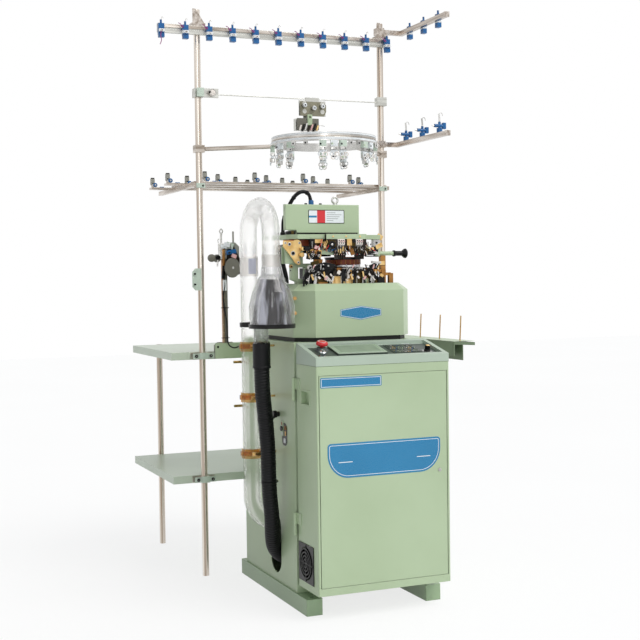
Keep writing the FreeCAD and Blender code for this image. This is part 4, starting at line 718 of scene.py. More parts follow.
def screen_and_keys():
    """Screen cover, keys and lamps."""
    lid = Piece(on_panel(-53, 102, 6.5))
    lid.slab(rounded(184, 100, 4), 0, 2.4, LENS, 0.8)
    lid.band(inset(rounded(184, 100, 4), 3), 1.5, 2, 2.7, CONSOLE)
    lid.slab(rounded(150, 70, 2), 2.2, 2.8, SCREEN, 0.2)
    lid.finish("screen_cover", "swing_cabinet")
    keys = Piece()
    for column in range(5):
        for row in range(4):
            keys.place = on_panel(80 + column * 21, 66 + row * 23, 4.6)
            keys.slab(rounded(14.5, 14.5, 2.5), 0, 1.4, PANEL, 0.5)
    for column in range(13):
        for row in range(6):
            keys.place = on_panel(74 + column * 7.7, 60 + row * 14.2, 4.7)
            keys.slab(rounded(4, 5, 0.8, 2), 0, 0.8, KEY_HUES[(column * 3 + row * 5) % 8])
    for column in range(4):
        keys.place = on_panel(146 + column * 8, 158, 1.6)
        keys.slab(rounded(4.5, 4.5, 1, 2), 0, 0.8, ENAMEL_WHITE)
    keys.finish("console_keys", "swing_cabinet")


def control_trim():
    """Rims of the controls, the knob's scale, a red lamp and the console's lower seam."""
    trim = Piece(on_panel(-180, 118))
    trim.hoop([(24, 0), (24, 2), (18.2, 3), (18, 8), (15.2, 11.2), (14, 11.2), (16.6, 0)], GREY, 36)
    trim.place = on_panel(-203, 52)
    trim.lathe([(13.5, 0), (13.5, 1.2), (11.5, 1.8), (9.2, 1.8)], CHROME, 32)
    trim.place = on_panel(198, 66)
    trim.lathe([(17, 0), (17, 0.5), (12.5, 1)], STEEL, 32)
    for number in range(11):
        trim.place = turned(on_panel(198, 66), 210 - number * 24)
        trim.slab(rounded(4, 0.8, 0.3, 2, 20.5), 0, 0.3, ENAMEL_WHITE)
    trim.place = on_panel(222, 108)
    trim.lathe([(5, 0), (5, 3), (3, 5.2), (0, 5.6)], RED, 18)
    trim.move()
    trim.part(SHADE_AND_SEAM, (-248, 248), (-0.3, 0.4), (851.3, 852.7), 0, 0.2)
    for x in (-248, 248):
        trim.part(SHADE_AND_SEAM, (x - 0.3, x + 0.3), (0, 175), (851.3, 852.7), 0, 0.2)
    trim.finish("control_trim", "swing_cabinet")


def control_caps():
    """The moving caps of the speed knob, the key switch and the stop button."""
    cap = Piece(on_panel(198, 66, 22))
    cap.lathe([(7.8, -0.5), (7.8, 0.6), (6.8, 1.4), (0, 1.6)], GOLD, 28)
    for number in range(18):
        cap.place = turned(on_panel(198, 66, 22), number * 20)
        cap.slab(rounded(1.4, 1.2, 0.5, 2, 8.6), -14, -1.5, BLACK, 0.2)
    cap.finish("rotary_cap", "speed_knob")
    key = Piece(on_panel(-203, 52, 18))
    key.slab(rounded(3.2, 20, 1.2, 3), -4, 6, CHROME, 0.6)
    key.lathe([(11.8, -8), (12.6, -7), (12.6, -1), (10.5, 1.2), (0, 1.6)], CHROME, 32)
    key.finish("key_grip", "key_barrel")
    mushroom = Piece(on_panel(-180, 118, 35))
    mushroom.lathe([(20.2, -12), (20.7, -10), (20.3, -6), (17.8, -2.5), (12.5, -0.3), (6, 0.3), (0, 0.4)],
                   RED, 40)
    mushroom.band(circle(14.2, 36), 1, -1.2, -0.2, ENAMEL_WHITE)
    mushroom.finish("stop_cap", "emergency_button")


# ---- knitting head

GOLD_PLATE = (
    (-198, 1281), (-206, 1279), (-210, 1275.5), (-249, 1276.5), (-250, 1255), (-236.6, 1240),
    (-216, 1214), (-207, 1199), (-194, 1190), (-185, 1193), (-186, 1205), (-190.5, 1224), (-181, 1242),
    (-180, 1262), (-183, 1274), (-190, 1279))
PLATE_HOLES = ((-226, 1264, 4.4), (-213, 1232, 6.2), (-193, 1200, 2.4), (-241, 1268, 2.2), (-188, 1268, 2.4))
HEAD_FRONT = (
    (BLACK, (-156, -138), (8, 18), (62, 81)), (BLACK, (-182, -150), (12, 20), (42, 54)),
    (GOLD, (-138, -108), (8, 14), (67, 80)), (GOLD, (-107, -95), (6, 12), (48, 72)),
    (PINK, (-141, -131), (4, 10), (46, 58), 24), (WHITE, (-129, -121), (4, 10), (43, 56), -14),
    (GOLD, (-168, -120), (12, 18), (29, 41), -6), (OLIVE, (-164, -132), (6, 12), (18, 30), 8),
    (GOLD, (-128, -116), (4, 12), (18, 42), 12), (BLACK, (-112, -96), (8, 16), (44, 56), 20),
    (SAGE, (-122, -58), (12, 20), (26, 45), 3), (BLUE, (-80, -63), (1, 8), (41, 49), -12),
    (GOLD, (-38, -25), (2, 8), (37, 54), 6), (GOLD, (-17, 2), (2, 14), (58, 81)),
    (BRONZE, (-12, 14), (4, 14), (46, 60), -8), (OLIVE, (0, 17), (3, 12), (40, 70)),
    (BLACK, (3, 14), (0, 8), (68, 81)), (BLACK, (-58, -20), (8, 16), (21, 32), 4),
    (OLIVE, (24, 66), (4, 16), (28, 48), 5), (BLACK, (14, 40), (0, 8), (22, 32), 12),
    (GOLD, (76, 97), (20, 28), (41, 50), -18), (BLACK, (56, 92), (12, 22), (26, 36), -16),
    (CREAM, (60, 78), (8, 14), (48, 55), 28), (STEEL, (88, 118), (28, 40), (28, 38), 6),
    (BRONZE, (-6, 8), (-2, 4), (24, 46), -20), (GOLD, (-52, -40), (0, 6), (30, 46), -14))
HEAD_BACK = (
    (BLACK, (-142, -84), (114, 150), (34, 81)), (DARK_STEEL, (-90, -30), (120, 160), (22, 81)),
    (OLIVE, (-34, 24), (112, 150), (28, 81)), (BLACK, (20, 60), (106, 146), (38, 81)),
    (DARK_STEEL, (-160, -120), (50, 80), (52, 81)), (BRONZE, (-128, -96), (40, 62), (36, 76)),
    (BLACK, (-98, -66), (32, 50), (46, 81)), (BLACK, (-28, 12), (26, 42), (40, 81)),
    (OLIVE, (46, 74), (30, 50), (40, 70)), (DARK_STEEL, (-150, -104), (26, 46), (22, 42), -5),
    (BLACK, (40, 92), (40, 56), (32, 52), 8))
TABLE_FRONT = (
    (GOLD, (-93, -57), (16, 24), (20, 50)), (DARK_STEEL, (-90, -70), (12, 18), (51, 66), 16),
    (WHITE, (-74, -62), (11, 15), (56, 70), 30), (BLACK, (-66, -56), (12, 18), (50, 64), -12),
    (BLACK, (-56, -40), (14, 26), (31, 76), 3), (GOLD, (-48, -14), (18, 26), (20, 41)),
    (WHITE, (-35, -26), (12, 22), (42, 76)), (BRASS, (-24, -17), (14, 24), (40, 72)),
    (BLACK, (-15, -6), (12, 22), (22, 70), 4), (OLIVE, (-4, 22), (14, 30), (20, 67)),
    (OLIVE, (-150, -112), (16, 28), (20, 42), -6), (BRONZE, (-146, -112), (10, 16), (20, 30)),
    (GREY, (24, 34), (16, 26), (22, 60), -18), (SAGE, (30, 48), (16, 26), (20, 41)),
    (BLACK, (-108, -94), (14, 26), (22, 46), 8), (DARK_STEEL, (-134, -96), (22, 30), (50, 58), 20),
    (BLACK, (-152, -120), (24, 32), (66, 78), -14), (BRONZE, (-70, -40), (26, 34), (68, 78), 6),
    (STEEL, (60, 66), (20, 32), (20, 50), 8), (BLACK, (92, 118), (28, 40), (20, 46)),
    (GOLD, (98, 112), (26, 30), (46, 56), 30), (STEEL, (-160, -150), (14, 20), (22, 60), 10),
    (OLIVE, (68, 88), (32, 44), (20, 38)), (DARK_STEEL, (-4, 40), (32, 40), (64, 74), -9),
    (STEEL, (92, 128), (76, 88), (94, 102), 4), (GOLD, (124, 146), (84, 94), (88, 102)),
    (BLACK, (78, 104), (68, 76), (80, 92), -20), (BLACK, (148, 160), (112, 120), (33, 42)))
TABLE_BACK = (
    (BLACK, (-166, -138), (50, 90), (20, 76)), (DARK_STEEL, (-140, -104), (56, 90), (20, 90)),
    (IRON, (-120, -84), (62, 100), (20, 82)), (BLACK, (-112, -76), (36, 50), (54, 96), 12),
    (OLIVE, (-158, -130), (38, 50), (80, 104), -16), (BLACK, (-62, -30), (38, 46), (52, 70), 9),
    (BRONZE, (-148, -116), (44, 54), (96, 112), 10), (BLACK, (26, 58), (36, 46), (50, 68), -12),
    (BLACK, (-92, 40), (200, 236), (20, 86)), (DARK_STEEL, (58, 84), (50, 68), (20, 62)),
    (BLACK, (-176, -150), (62, 80), (30, 60), 30), (OLIVE, (44, 70), (36, 48), (20, 50)))
GAP_PARTS = (
    (BLACK, (-172, -158), (8, 16), (10, 36), 12), (BLACK, (-160, -140), (6, 14), (22, 34), -20),
    (DARK_STEEL, (-152, -130), (6, 14), (8, 21), 22), (GOLD, (-169, -163), (3, 8), (14, 30), -10),
    (STEEL, (-155, -151), (2, 6), (7, 33), 30), (STEEL, (-142, -139), (2, 6), (11, 38), -35),
    (BLACK, (-134, -121), (6, 15), (11, 38), 4), (BRONZE, (-148, -140), (1, 5), (28, 36), 0),
    (GOLD, (-128, -122), (2, 6), (14, 26), 14), (OLIVE, (-164, -156), (2, 6), (32, 40), 0))
HEAD_PLACE = axes_at((0, 250, 1200))
TABLE_PLACE = axes_at((0, 200, 1100))


def pivot_plates():
    """The gold plates screwed on the pivot bracket, and the brown bar over them."""
    plates = Piece()
    plates.slab(GOLD_PLATE, -3.4, 0, GOLD, 0.6, facing(0, 280, 0))
    for x, z, radius in PLATE_HOLES:
        plates.disc(STEEL, x, (278.8, 280.2), z, radius + 2.2, radius)
        plates.disc(BLACK, x, (278.5, 280), z, radius)
    plates.disc(BRASS, -217, (288, 296), 1186, 6)
    plates.bolt(BLACK, -217, 288, 1186, 3.6)
    plates.bolt(BLACK, -217, 295.8, 1172, 2.4)
    plates.disc(GOLD, -181, (262, 276), 1247, 7, 3)
    plates.disc(GOLD, -184, (264, 276), 1226, 8, 3)
    plates.finish("pivot_plates")
    bar = Piece()
    bar.parts((RUST, (-246, -152), (283, 288.5), (1258, 1280)),
              (BLACK, (-236, -225), (281, 296), (1298.2, 1306)))
    bar.disc(BLACK, -230, (280, 288), 1302, 5)
    for x in (-221, -213, -201):
        bar.part(BLACK, (x, x + 7), (303, 330), (1298.4, 1311))
    bar.part(OLIVE, (-210, -200), (301, 306), (1299, 1312))
    bar.finish("pivot_bar", "head_body")


def comb(piece, x, spread, tips):
    """A set of thin yarn fingers that fan out below their block."""
    piece.move(x, 250, 1281)
    piece.part(WHITE, (-13, 13), (0, 12), (-20, 0))
    for row in range(2):
        for column in range(3):
            piece.disc(BLACK, column * 8 - 8, (-1.4, 0.2), -6 - row * 8, 2.2, 0, 10)
            piece.disc(PINK, column * 8 - 4, (-1.2, 0.2), row * 3 - 10, 1.8, 0, 8)
    for number, hue in enumerate(tips):
        share = number / (len(tips) - 1) - 0.5
        foot = share * spread
        piece.wire(STEEL, [(share * 20, 6, -18), (share * 26, 5, -28), (foot, 3, -44)], 1.1, 6)
        piece.wire(hue, [(foot, 3, -43), (foot + share * 5, 2, -50), (foot + share * 9, 1, -56)], 1.7, 6)


def spring(piece, x, depth, low, high, radius, hue=STEEL):
    """A coil spring standing upright."""
    turns = int((high - low) / 2.4)
    coil = arc(radius, 0, 360 * turns, turns * 8, x, depth)
    piece.tube([(*point, low + (high - low) * step / (turns * 8)) for step, point in enumerate(coil)],
               0.6, hue, 5)


def upper_mechanism():
    """Fingers, cams, small cylinders and wires under the lifting plate."""
    head = Piece(HEAD_PLACE)
    head.parts(*HEAD_FRONT)
    head.disc(OLIVE, -77, (0, 12), 62, 17, 4)
    head.disc(BLACK, -77, (-2, 1), 62, 12, 3)
    head.disc(STEEL, -77, (-3.5, -1), 62, 4)
    for x, z, radius in ((-152, 36, 9), (-136, 26, 7), (-160, 22, 6)):
        head.disc(BRASS, x, (2, 12), z, radius, 2.5)
        head.disc(PINK, x, (0.5, 2.5), z, radius * 0.45)
    head.parts(*HEAD_BACK)
    comb(head, -40, 44, (PINK, WHITE, GOLD, PINK, WHITE, BLACK, PINK))
    comb(head, 30, 50, (WHITE, PINK, RED, WHITE, BLACK, PINK, WHITE))
    head.place = HEAD_PLACE
    for number, hue in enumerate((PINK, BLACK, WHITE, BLACK, RED, BLACK)):
        head.wire(hue, [(34 + number * 2, 12 + number * 2, 79),
                        (46 + number * 5, 8 + number * 2, 62 - number),
                        (60 + number * 11, 12 + number * 3, 46 - number * 2)], 1.3, 6)
    for number in range(5):
        z = 44 - number * 6
        head.wire(BLACK if number % 2 else DARK_STEEL,
                  [(60, 16 + number, z), (84, 22, z), (108 + number * 3, 34, z + 5 - number)], 2)
    for number, hue in enumerate((RED, BLACK, GOLD, RED, BLUE, BLACK)):
        x = -112 + number * 9
        head.wire(hue, [(x, 8, 80), (x - 6 + number * 2, 0, 66), (x - 14, 2, 52 - number * 3),
                        (x - 22 + number * 5, 8, 38)], 1.1, 6)
    for number in range(7):
        x = -150 + number * 36
        spring(head, x, 5, 50 - number % 3 * 8, 72 - number % 2 * 6, 2.6)
        head.bolt(STEEL if number % 2 else BLACK, x + 9, 2, 62 - number % 3 * 9, 3)
    head.finish("upper_mechanism", "head_body")
    grip = Piece()
    grip.parts((STEEL, (117, 143), (319.5, 340.5), (1256, 1281.8)),
               (DARK_STEEL, (119, 136), (318.5, 341), (1232, 1256)),
               (GOLD, (134, 157), (322, 326), (1282, 1300), 30),
               (GOLD, (126, 154), (318, 321), (1250, 1266), -24))
    grip.bolt(BLACK, 130, 319, 1270, 4)
    grip.finish("handle_plates", "head_body")


def dial_rings():
    """Bright and black rings of the dial above the needles."""
    rings = Piece(upright(0, CYLINDER_DEPTH))
    rings.lathe([(52, 1183.5), (61.5, 1183.5), (62.5, 1185), (62.5, 1188.8), (52, 1188.8)], CHROME, 64)
    rings.lathe([(50, 1174.5), (60, 1174.5), (61.2, 1176), (61.2, 1182), (50, 1182)], BLACK, 64)
    rings.lathe([(63.2, 1208.5), (65.5, 1209), (65.5, 1215), (63.2, 1215.5)], BLACK, 64)
    for number in range(24):
        rings.move(0, CYLINDER_DEPTH, 0, number * 15)
        rings.part(BRONZE, (63, 64.2), (-1.2, 1.2), (1192.5, 1207.5), 0, 0.3)
    rings.finish("dial_rings", "dial_body")


def lower_mechanism():
    """Yarn clamps, levers, springs and hoses on the table round the needle cylinder."""
    base = Piece(TABLE_PLACE)
    base.parts(*TABLE_FRONT, *TABLE_BACK)
    for number in range(3):
        x = -136 + number * 9
        z = 58 - number * 3
        base.wire(WHITE, [(x, 8, z), (x + 12, 8, z - 12), (x + 24, 9, z - 25)], 1.8)
    for x, z, radius in ((-172, 80, 9), (-158, 72, 7), (-140, 62, 8)):
        base.disc(STEEL, x, (26, 34), z, radius, radius * 0.5)
        base.disc(BLACK, x, (24.5, 30), z, radius * 0.45)
    for number, (hue, radius) in enumerate(((BLACK, 3.4), (RUBBER, 2.6), (STEEL, 1.8), (BLACK, 3),
                                            (RUBBER, 2.2), (DARK_STEEL, 1.6))):
        x = -192 + number * 10
        base.wire(hue, [(x, 32, 12), (x - 4, 26 + number, 36), (x + 4, 28 + number, 60),
                        (x + 22, 36, 80 + number * 3), (x + 44, 42, 86 + number * 2)], radius, 8)
    base.wire(BLACK, [(22, 14, 58), (40, 12, 60), (56, 12, 54), (60, 12, 44), (50, 13, 22)], 2.6, 8)
    base.wire(BLACK, [(84, 36, 58), (104, 36, 56), (112, 36, 44), (110, 36, 20)], 2.2, 8)
    for number in range(9):
        spring(base, -104 + number * 21, 9 + number % 2 * 6, 22, 40 + number % 3 * 5, 2.4,
               BRASS if number % 3 == 1 else STEEL)
    base.move(0, CYLINDER_DEPTH, 1100)
    for number in range(16):
        angle = math.radians(-160 + number * 18)
        reach = 98 + number % 3 * 5
        top = 58 + number * 7 % 22
        base.wire((DARK_STEEL, BLACK, BRONZE, STEEL)[number % 4],
                  [(math.cos(angle) * reach * share, math.sin(angle) * reach * share, z)
                   for share, z in ((1, 21), (1.02, top - 14), (0.93, top))], 2)
    base.finish("lower_mechanism")
    post = Piece()
    for height in (1138, 1187):
        post.part(BLACK, (147.6, 167.4), (320.6, 339.4), (height, height + 1.4), 0, 0.3)
    post.bolt(BLACK, 140, 321, 1128, 3.2)
    post.finish("post_seams")


def needles():
    """Hooked needles standing in the slots of the cylinder."""
    ring = Piece()
    for number in range(72):
        ring.move(0, CYLINDER_DEPTH, 0, number * 5)
        ring.part(CHROME, (55.2, 56.6), (-0.4, 0.4), (1118, 1173.8), 0, 0.2)
        ring.part(CHROME, (53.2, 56.6), (-0.4, 0.4), (1172.2, 1174), 0, 0.2)
    ring.finish("cylinder_needles", "cylinder_body")


def box_fittings():
    """Eyebolt and cap screws on the head box."""
    steel = Piece(upright(-20, 350))
    steel.eye(STEEL, 11, 3.7, facing(0, 0, 1424), 32, 12)
    steel.lathe([(6.2, 1404.9), (9.3, 1405.1), (9.3, 1409.2), (4.5, 1409.6), (4.5, 1412.5)], STEEL, 28)
    for x in (-140, -84):
        steel.move(x, 334)
        steel.lathe([(5.3, 1404.9), (5.3, 1410), (4, 1411.6), (2, 1411.2)], BLACK, 18)
    steel.finish("box_fittings", "head_body")


pivot_plates()
upper_mechanism()
dial_rings()
lower_mechanism()
needles()
box_fittings()


# ---- creel

FEEDERS = 11
FEEDER_PITCH = 93.7
FIRST_FEEDER = -545
LEFT_LIMIT = -555.9
EYELET_REACH = 191
EYELET_HEIGHT = 1601
RING_BANDS = (
    (194.2, 195, 1650, 1653.5, TRAY), (194.2, 195.2, 1659, 1664.5, SHEEN), (198, 198.6, 1639, 1646, SHEEN))
EYELET_ANGLES = (-170, -152, -114, -102, -92, -63, -51, -20, 13, 44, 68, 109, 127, 156)


def feeder_trim():
    """Clear bands, hooks, lower bodies and magenta wires of the yarn feeders."""
    trim = Piece()
    for number in range(FEEDERS):
        x = FIRST_FEEDER + number * FEEDER_PITCH
        trim.move(x, 735, 2062)
        trim.parts((BLUE, (-10.6, 10.6), (1, 21.5), (-12, 1), 0, 1.2),
                   (SHEEN, (max(-11.6, LEFT_LIMIT - x), 11.6), (-0.7, 22), (8, 19), 0, 1.2),
                   (WHITE, (-5, 5), (-6, -0.6), (10, 16), 0, 1))
        trim.disc(BLACK, 0, (-6.4, -5.4), 13, 2, 0, 10)
        trim.wire(STEEL, [(0, 8, 52), (0, 6, 60), (4, 4, 63), (6, 4, 58)], 1, 6)
        if number:
            trim.wire(MAGENTA, [(-8, 2, 34), (-17, -2, 34), (-22, 0, 41), (-29, 4, 45)], 1.5, 6)
            trim.wire(MAGENTA, [(-8, 2, 30), (-15, -1, 29), (-22, 0, 36)], 1.3, 6)
        else:
            trim.wire(MAGENTA, [(-2, -1, 12), (-6, -3, -6), (-3, -2, -24), (-8, 0, -40)], 1.5, 6)
    for depth in (740, 620, 500):
        trim.move(492, depth, 2126)
        trim.part(SHEEN, (-9, 9.6), (-11.5, 11.5), (0, 10), 0, 1.2)
        trim.wire(STEEL, [(0, 0, 40), (0, -4, 45), (0, -8, 42)], 1, 6)
        trim.wire(MAGENTA, [(-8, 0, 14), (-14, 14, 16), (-22, 26, 20)], 1.4, 6)
    for depth in (700, 560, 420):
        trim.move(450, depth, 1718)
        trim.wire(BLUE, [(-22, 0, 0), (0, 0, 0), (20, 0, 0)], 6.5, 12)
        trim.wire(STEEL, [(0, 0, 4), (0, 0, 27), (-2, 0, 46)], 3.2, 10)
        trim.wire(STEEL, [(-2, 0, 44), (6, 0, 50), (12, 0, 46), (14, 0, 38)], 1.3, 6)
        trim.wire(STEEL, [(-22, 0, 0), (-32, 0, 0)], 2.6, 8)
        trim.part(BLUE, (12, 26), (-7, 7), (-12, 12), 0, 2)
    trim.move()
    # Warm strip along the aluminium creel bar's front: a painted reflection band.
    trim.part(TRAY, (-554.5, 392.5), (756.3, 757.2), (2091.5, 2104), 0, 0.3)
    trim.finish("feeder_trim")


def eyelet_row():
    """Ceramic eyelets and their clear holders under the sensor ring."""
    row = Piece()
    for number, degrees in enumerate(EYELET_ANGLES):
        upper, lower = (SAGE, BLACK) if number % 2 else (BLACK, SAGE)
        holder = turned(axes_at((EYELET_REACH, 0, EYELET_HEIGHT)), 90)
        row.place = turned(upright(0, RING_DEPTH), degrees) @ holder
        row.parts((CLAMP if number % 3 else SHEEN, (-12.5, 12.5), (-7.7, 7.7), (12, 34.5), 0, 1),
                  (STEEL, (-12.5, 12.5), (-8, 8), (0, 9), 0, 1),
                  (SHEEN, (-13, 13), (-5, 5), (-10, 0), 0, 1.5), (STEEL, (-4, 4), (-8, 8), (-24, -8), 0, 1))
        for x, z, hue in ((-9.5, -15, SHEEN), (9.5, -16, WHITE), (-5.7, -27, WHITE), (6.65, -28, SHEEN)):
            row.eye(hue, 6.8, 1.9, facing(x, -8.5, z), 16)
        row.parts((lower, (-8.5, 6), (-9.5, -5.5), (-27, -23), 0, 0.6),
                  (upper, (-11, -5), (-8.8, -7.8), (18, 24), 0, 0.4),
                  (BLACK, (4, 9), (-8.8, -7.8), (4, 8), 0, 0.4))
    row.move(0, RING_DEPTH)
    for inner, outer, low, high, hue in RING_BANDS:
        row.hoop([(inner, low), (outer, low + 0.5), (outer, high - 0.5), (inner, high)], hue, 96)
    for degrees in (-146, -132, -84, -74, -40, -30):
        row.move(0, RING_DEPTH, 0, degrees)
        row.part(STEEL, (196, 202), (-8, 8), (1620, 1640), 0, 1)
        row.part(BLACK, (201, 203), (-3, 3), (1624, 1630), 0, 0.5)
    row.move()
    row.parts((PINK, (196, 240), (560, 572), (1652, 1657), -3),
              (CLAMP, (196, 226), (560, 576), (1626, 1650)), (TRAY, (226, 268), (564, 574), (1630, 1642), 4),
              (BLACK, (204, 212), (558.8, 560.2), (1634, 1642)))
    row.finish("ring_eyelets")


def tension_details():
    """Discs and small parts on the tension plates at the wire."""
    unit = Piece()
    unit.slab([(110, 1838), (122, 1826), (122, 1800), (112, 1782), (12, 1782), (12, 1838)], -0.6, 0.8,
              PLATE, 0.2, facing(0, 750.4, 0))
    for x, z in ((26, 1822), (66, 1812), (102, 1820)):
        unit.disc(STEEL, x, (733, 750), z, 9.5, 3)
        unit.disc(SHEEN, x, (730.5, 733.5), z, 7.5)
        unit.disc(DARK_STEEL, x, (729.5, 731), z, 3)
    unit.part(DISC, (-6.4, 85.4), (738.4, 741), (1726, 1771))
    for number, hue in enumerate((WHITE, BLACK, STEEL, DARK_STEEL, PINK, BLACK, GOLD)):
        x = 2 + number * 12
        unit.part(hue, (x, x + 6), (731, 739), (1724 - number % 2 * 6, 1744 + number % 3 * 4), 18)
        unit.wire(STEEL, [(x + 2, 736, 1726), (x + 5, 733, 1716), (x + 8, 734, 1708)], 1.1, 6)
    unit.part(SAGE, (36, 56), (734, 740), (1744, 1786))
    unit.bolt(BLACK, 46, 734, 1776, 3.5)
    unit.wire(STEEL, [(84, 744, 1744), (100, 744, 1745), (112, 744, 1743)], 1.2, 6)
    for x, depth, z in ((-359, 749, 1856), (-425, 765.5, 1166), (-425, 765.5, 1126)):
        unit.bolt(BLACK, x, depth, z, 4.4)
    unit.slab([(-434, 1116), (-422, 1103), (-398, 1103), (-398, 1187), (-422, 1187), (-434, 1174)],
              -3, 0.4, CLAMP, 0.6, facing(0, 768, 0))
    unit.disc(WHITE, -347, (748.6, 749.6), 1855, 12, 0, 28)
    unit.place = facing(-347, 749.6, 1855)
    unit.hoop([(12, 0), (13.8, 0), (13.8, 1.6), (12, 1.6)], STEEL, 28)
    unit.move()
    unit.part(CLAMP, (-409, -381), (749.4, 750), (1838.5, 1871.5), 0, 0.3)
    for x in WHEEL_COLUMNS:
        unit.part(CLAMP, (x - 17.5, x + 17.5), (766.2, 767.2), (1494.5, 1512.5), 0, 0.4)
        unit.bolt(BLACK, x + 9, 766.4, 1503, 3.6)
    unit.finish("tension_details")


def tray_trim():
    """Blue rings, stems and dark edges on the yarn tray."""
    trim = Piece()
    for depth, first, count in ((824, -361, 4), (927, -480, 5), (1027, -372, 4), (1155, -480, 4)):
        for number in range(count):
            trim.move(first + number * 205, depth, 1532)
            trim.eye(BLUE, 6.5, 2.6, facing(8, -13, 0))
            trim.disc(STEEL, 2, (-12, -4), -2, 7, 2)
            trim.disc(BLUE, 8, (-15, -12), 0, 7.6, 3)
            trim.disc(STEEL, 8, (-16.4, -14.8), 0, 3.6, 1)
            trim.parts((POST, (-8.4, 8.4), (-5.6, 5.4), (0, 26), 0, 1.2),
                       (DARK_STEEL, (-7, 7), (-6.3, 4), (26, 30), 0, 1),
                       (BLACK, (-3, 3), (-6.3, -5), (5, 9)),
                       (BLUE, (26, 44), (-20, -12), (-10.6, -7), 0, 0.8))
    trim.finish("tray_trim")


def side_tensioner_parts():
    """Discs, hook, wires and plates of the yarn tensioner beside the duct."""
    side = Piece(axes_at((-300, 750, 1200)))
    side.slab([(27, 84), (48, 40), (56, 22), (56, -36), (44, -40), (0, 10), (0, 84)], -2, 0.4, DARK_STEEL,
              0.4, facing(0, 14, 0))
    side.parts((CLAMP, (0, 29), (7, 14), (62, 85), 20), (STEEL, (-31, 0), (4, 16), (22, 82), 0, 2),
               (OCHRE, (-18, -8), (0, 6), (-4, 62)), (BLUE, (-2, 38), (-2, 8), (41, 57), -10, 2),
               (PINK, (18, 38), (-4, 4), (26, 40), 22), (SHEEN, (-26, 0), (-2, 6), (64, 76), 12))
    at = axes_at((19, 2, -12), (0.4, -0.917, 0))
    side.lathe([(37.2, 0), (38, 1), (38, 6), (36.5, 7.5), (4, 7.8)], DISC, 40, at)
    side.lathe([(5, 7.6), (4.5, 9.2), (1, 9.6)], STEEL, 16, at)
    side.disc(DISC, -59, (6, 14), 26, 15, 0, 28)
    side.disc(BLACK, -34, (2, 18), 28, 9, 4)
    side.wire(STEEL, [(-19, 12, 82), (-19, 12, 105), (-18, 12, 122)], 4.2, 12)
    side.wire(STEEL, [(-19, 12, 118), (-25, 10, 128), (-19, 10, 137), (-13, 10, 128), (-18, 10, 119)], 2.4, 8)
    side.wire(STEEL, [(-34, 10, 22), (-36, 8, 6), (-37, 7, -6)], 3, 8)
    side.wire(STEEL, [(-31, 8, 84), (-34, 7, 94), (-29, 7, 99)], 1.6, 6)
    side.parts((BROWN, (-20, -9), (10, 16), (-300, 22), 0, 1), (DISC, (-9, 4), (11, 16), (-300, -10), 0, 1),
               (SHEEN, (-17, -2), (2, 11), (-100, -58), 0, 2), (BLACK, (-19, -6), (4, 11), (-54, -4), 6, 1),
               (DARK_STEEL, (-18, -9), (2, 5), (-40, -8), 4), (STEEL, (-34, 20), (0, 6), (58, 81), -6, 2),
               (SHEEN, (-12, 12), (-4, 1), (68, 84), 14, 2), (BLACK, (4, 14), (-4, 0), (43, 49), -10))
    side.wire(BLACK, [(-12, 5, -56), (-10, 4, -80), (-16, 4, -120), (-12, 4, -170), (-4, 4, -220),
                      (-2, 4, -280), (2, 0, -308), (20, -8, -320), (42, -10, -314), (60, -6, -310)], 2.8, 8)
    for z in (-167, -283):
        side.part(BLACK, (-22, 8), (9, 18), (z, z + 3))
    side.part(SAGE, (-49, 58), (13.4, 14.8), (-361, -301), 0, 0.5)
    side.disc(BLACK, -38, (12.6, 13.6), -316, 4.5, 0, 14)
    side.finish("side_tensioner_parts")


feeder_trim()
eyelet_row()
tension_details()
tray_trim()
side_tensioner_parts()


# ---- side of the machine

def hose_and_duct_trim(side):
    """Cuff of the hose, clips and couplings of the duct, and the cables behind it."""
    side.move(-346, 252)
    side.hoop([(29.7, 836.5), (30.4, 836), (30.6, 840), (30.6, 918), (30.2, 921.5), (29.7, 921.5)], RUBBER)
    side.hoop([(30, 836.2), (31.8, 836.4), (31.8, 842), (30.4, 844)], RUBBER)
    for z in (525, 725, 905):
        side.move(*DUCT, z)
        side.wrap(AMBER, 33.4, (-205, 12), -17, 17, 2.6)
        side.wrap(GOLD, 33.2, (-204, -186), -16, 16, 1.6)
        side.part(GOLD, (-11, 27), (-38.5, -35), (-7, 7), 0, 1)
        side.wire(BRASS, [(-11, -40, -2), (3, -42, 1), (23, -40, 2)], 3, 8)
        side.bolt(BLACK, 19, -41, 0, 3.6)
        side.part(BRASS, (37, 45), (-31, -21), (-6, 6), 0, 1)
    side.move(*DUCT)
    side.wrap(FROST, 32, (0, 360), 1154, 1222)
    side.wrap(LAVENDER, 33.2, (-112, -62), 1162, 1216, 0.5)
    side.move(-328, 192)
    side.wrap(FROST, 32, (0, 360), 1184, 1226)
    side.move()
    for x, back, radius in ((-215, 372, 5.2), (-206, 377, 4.4), (-223, 380, 4), (-211, 363, 3.2)):
        side.wire(BLACK, [(x, back, 1264), (x - 5, back, 1250), (x * 0.8 - 51, back, 1222),
                          (x - 1, back, 1184), (x + 7, back, 1150), (x + 9, back, 1126)], radius, 10)


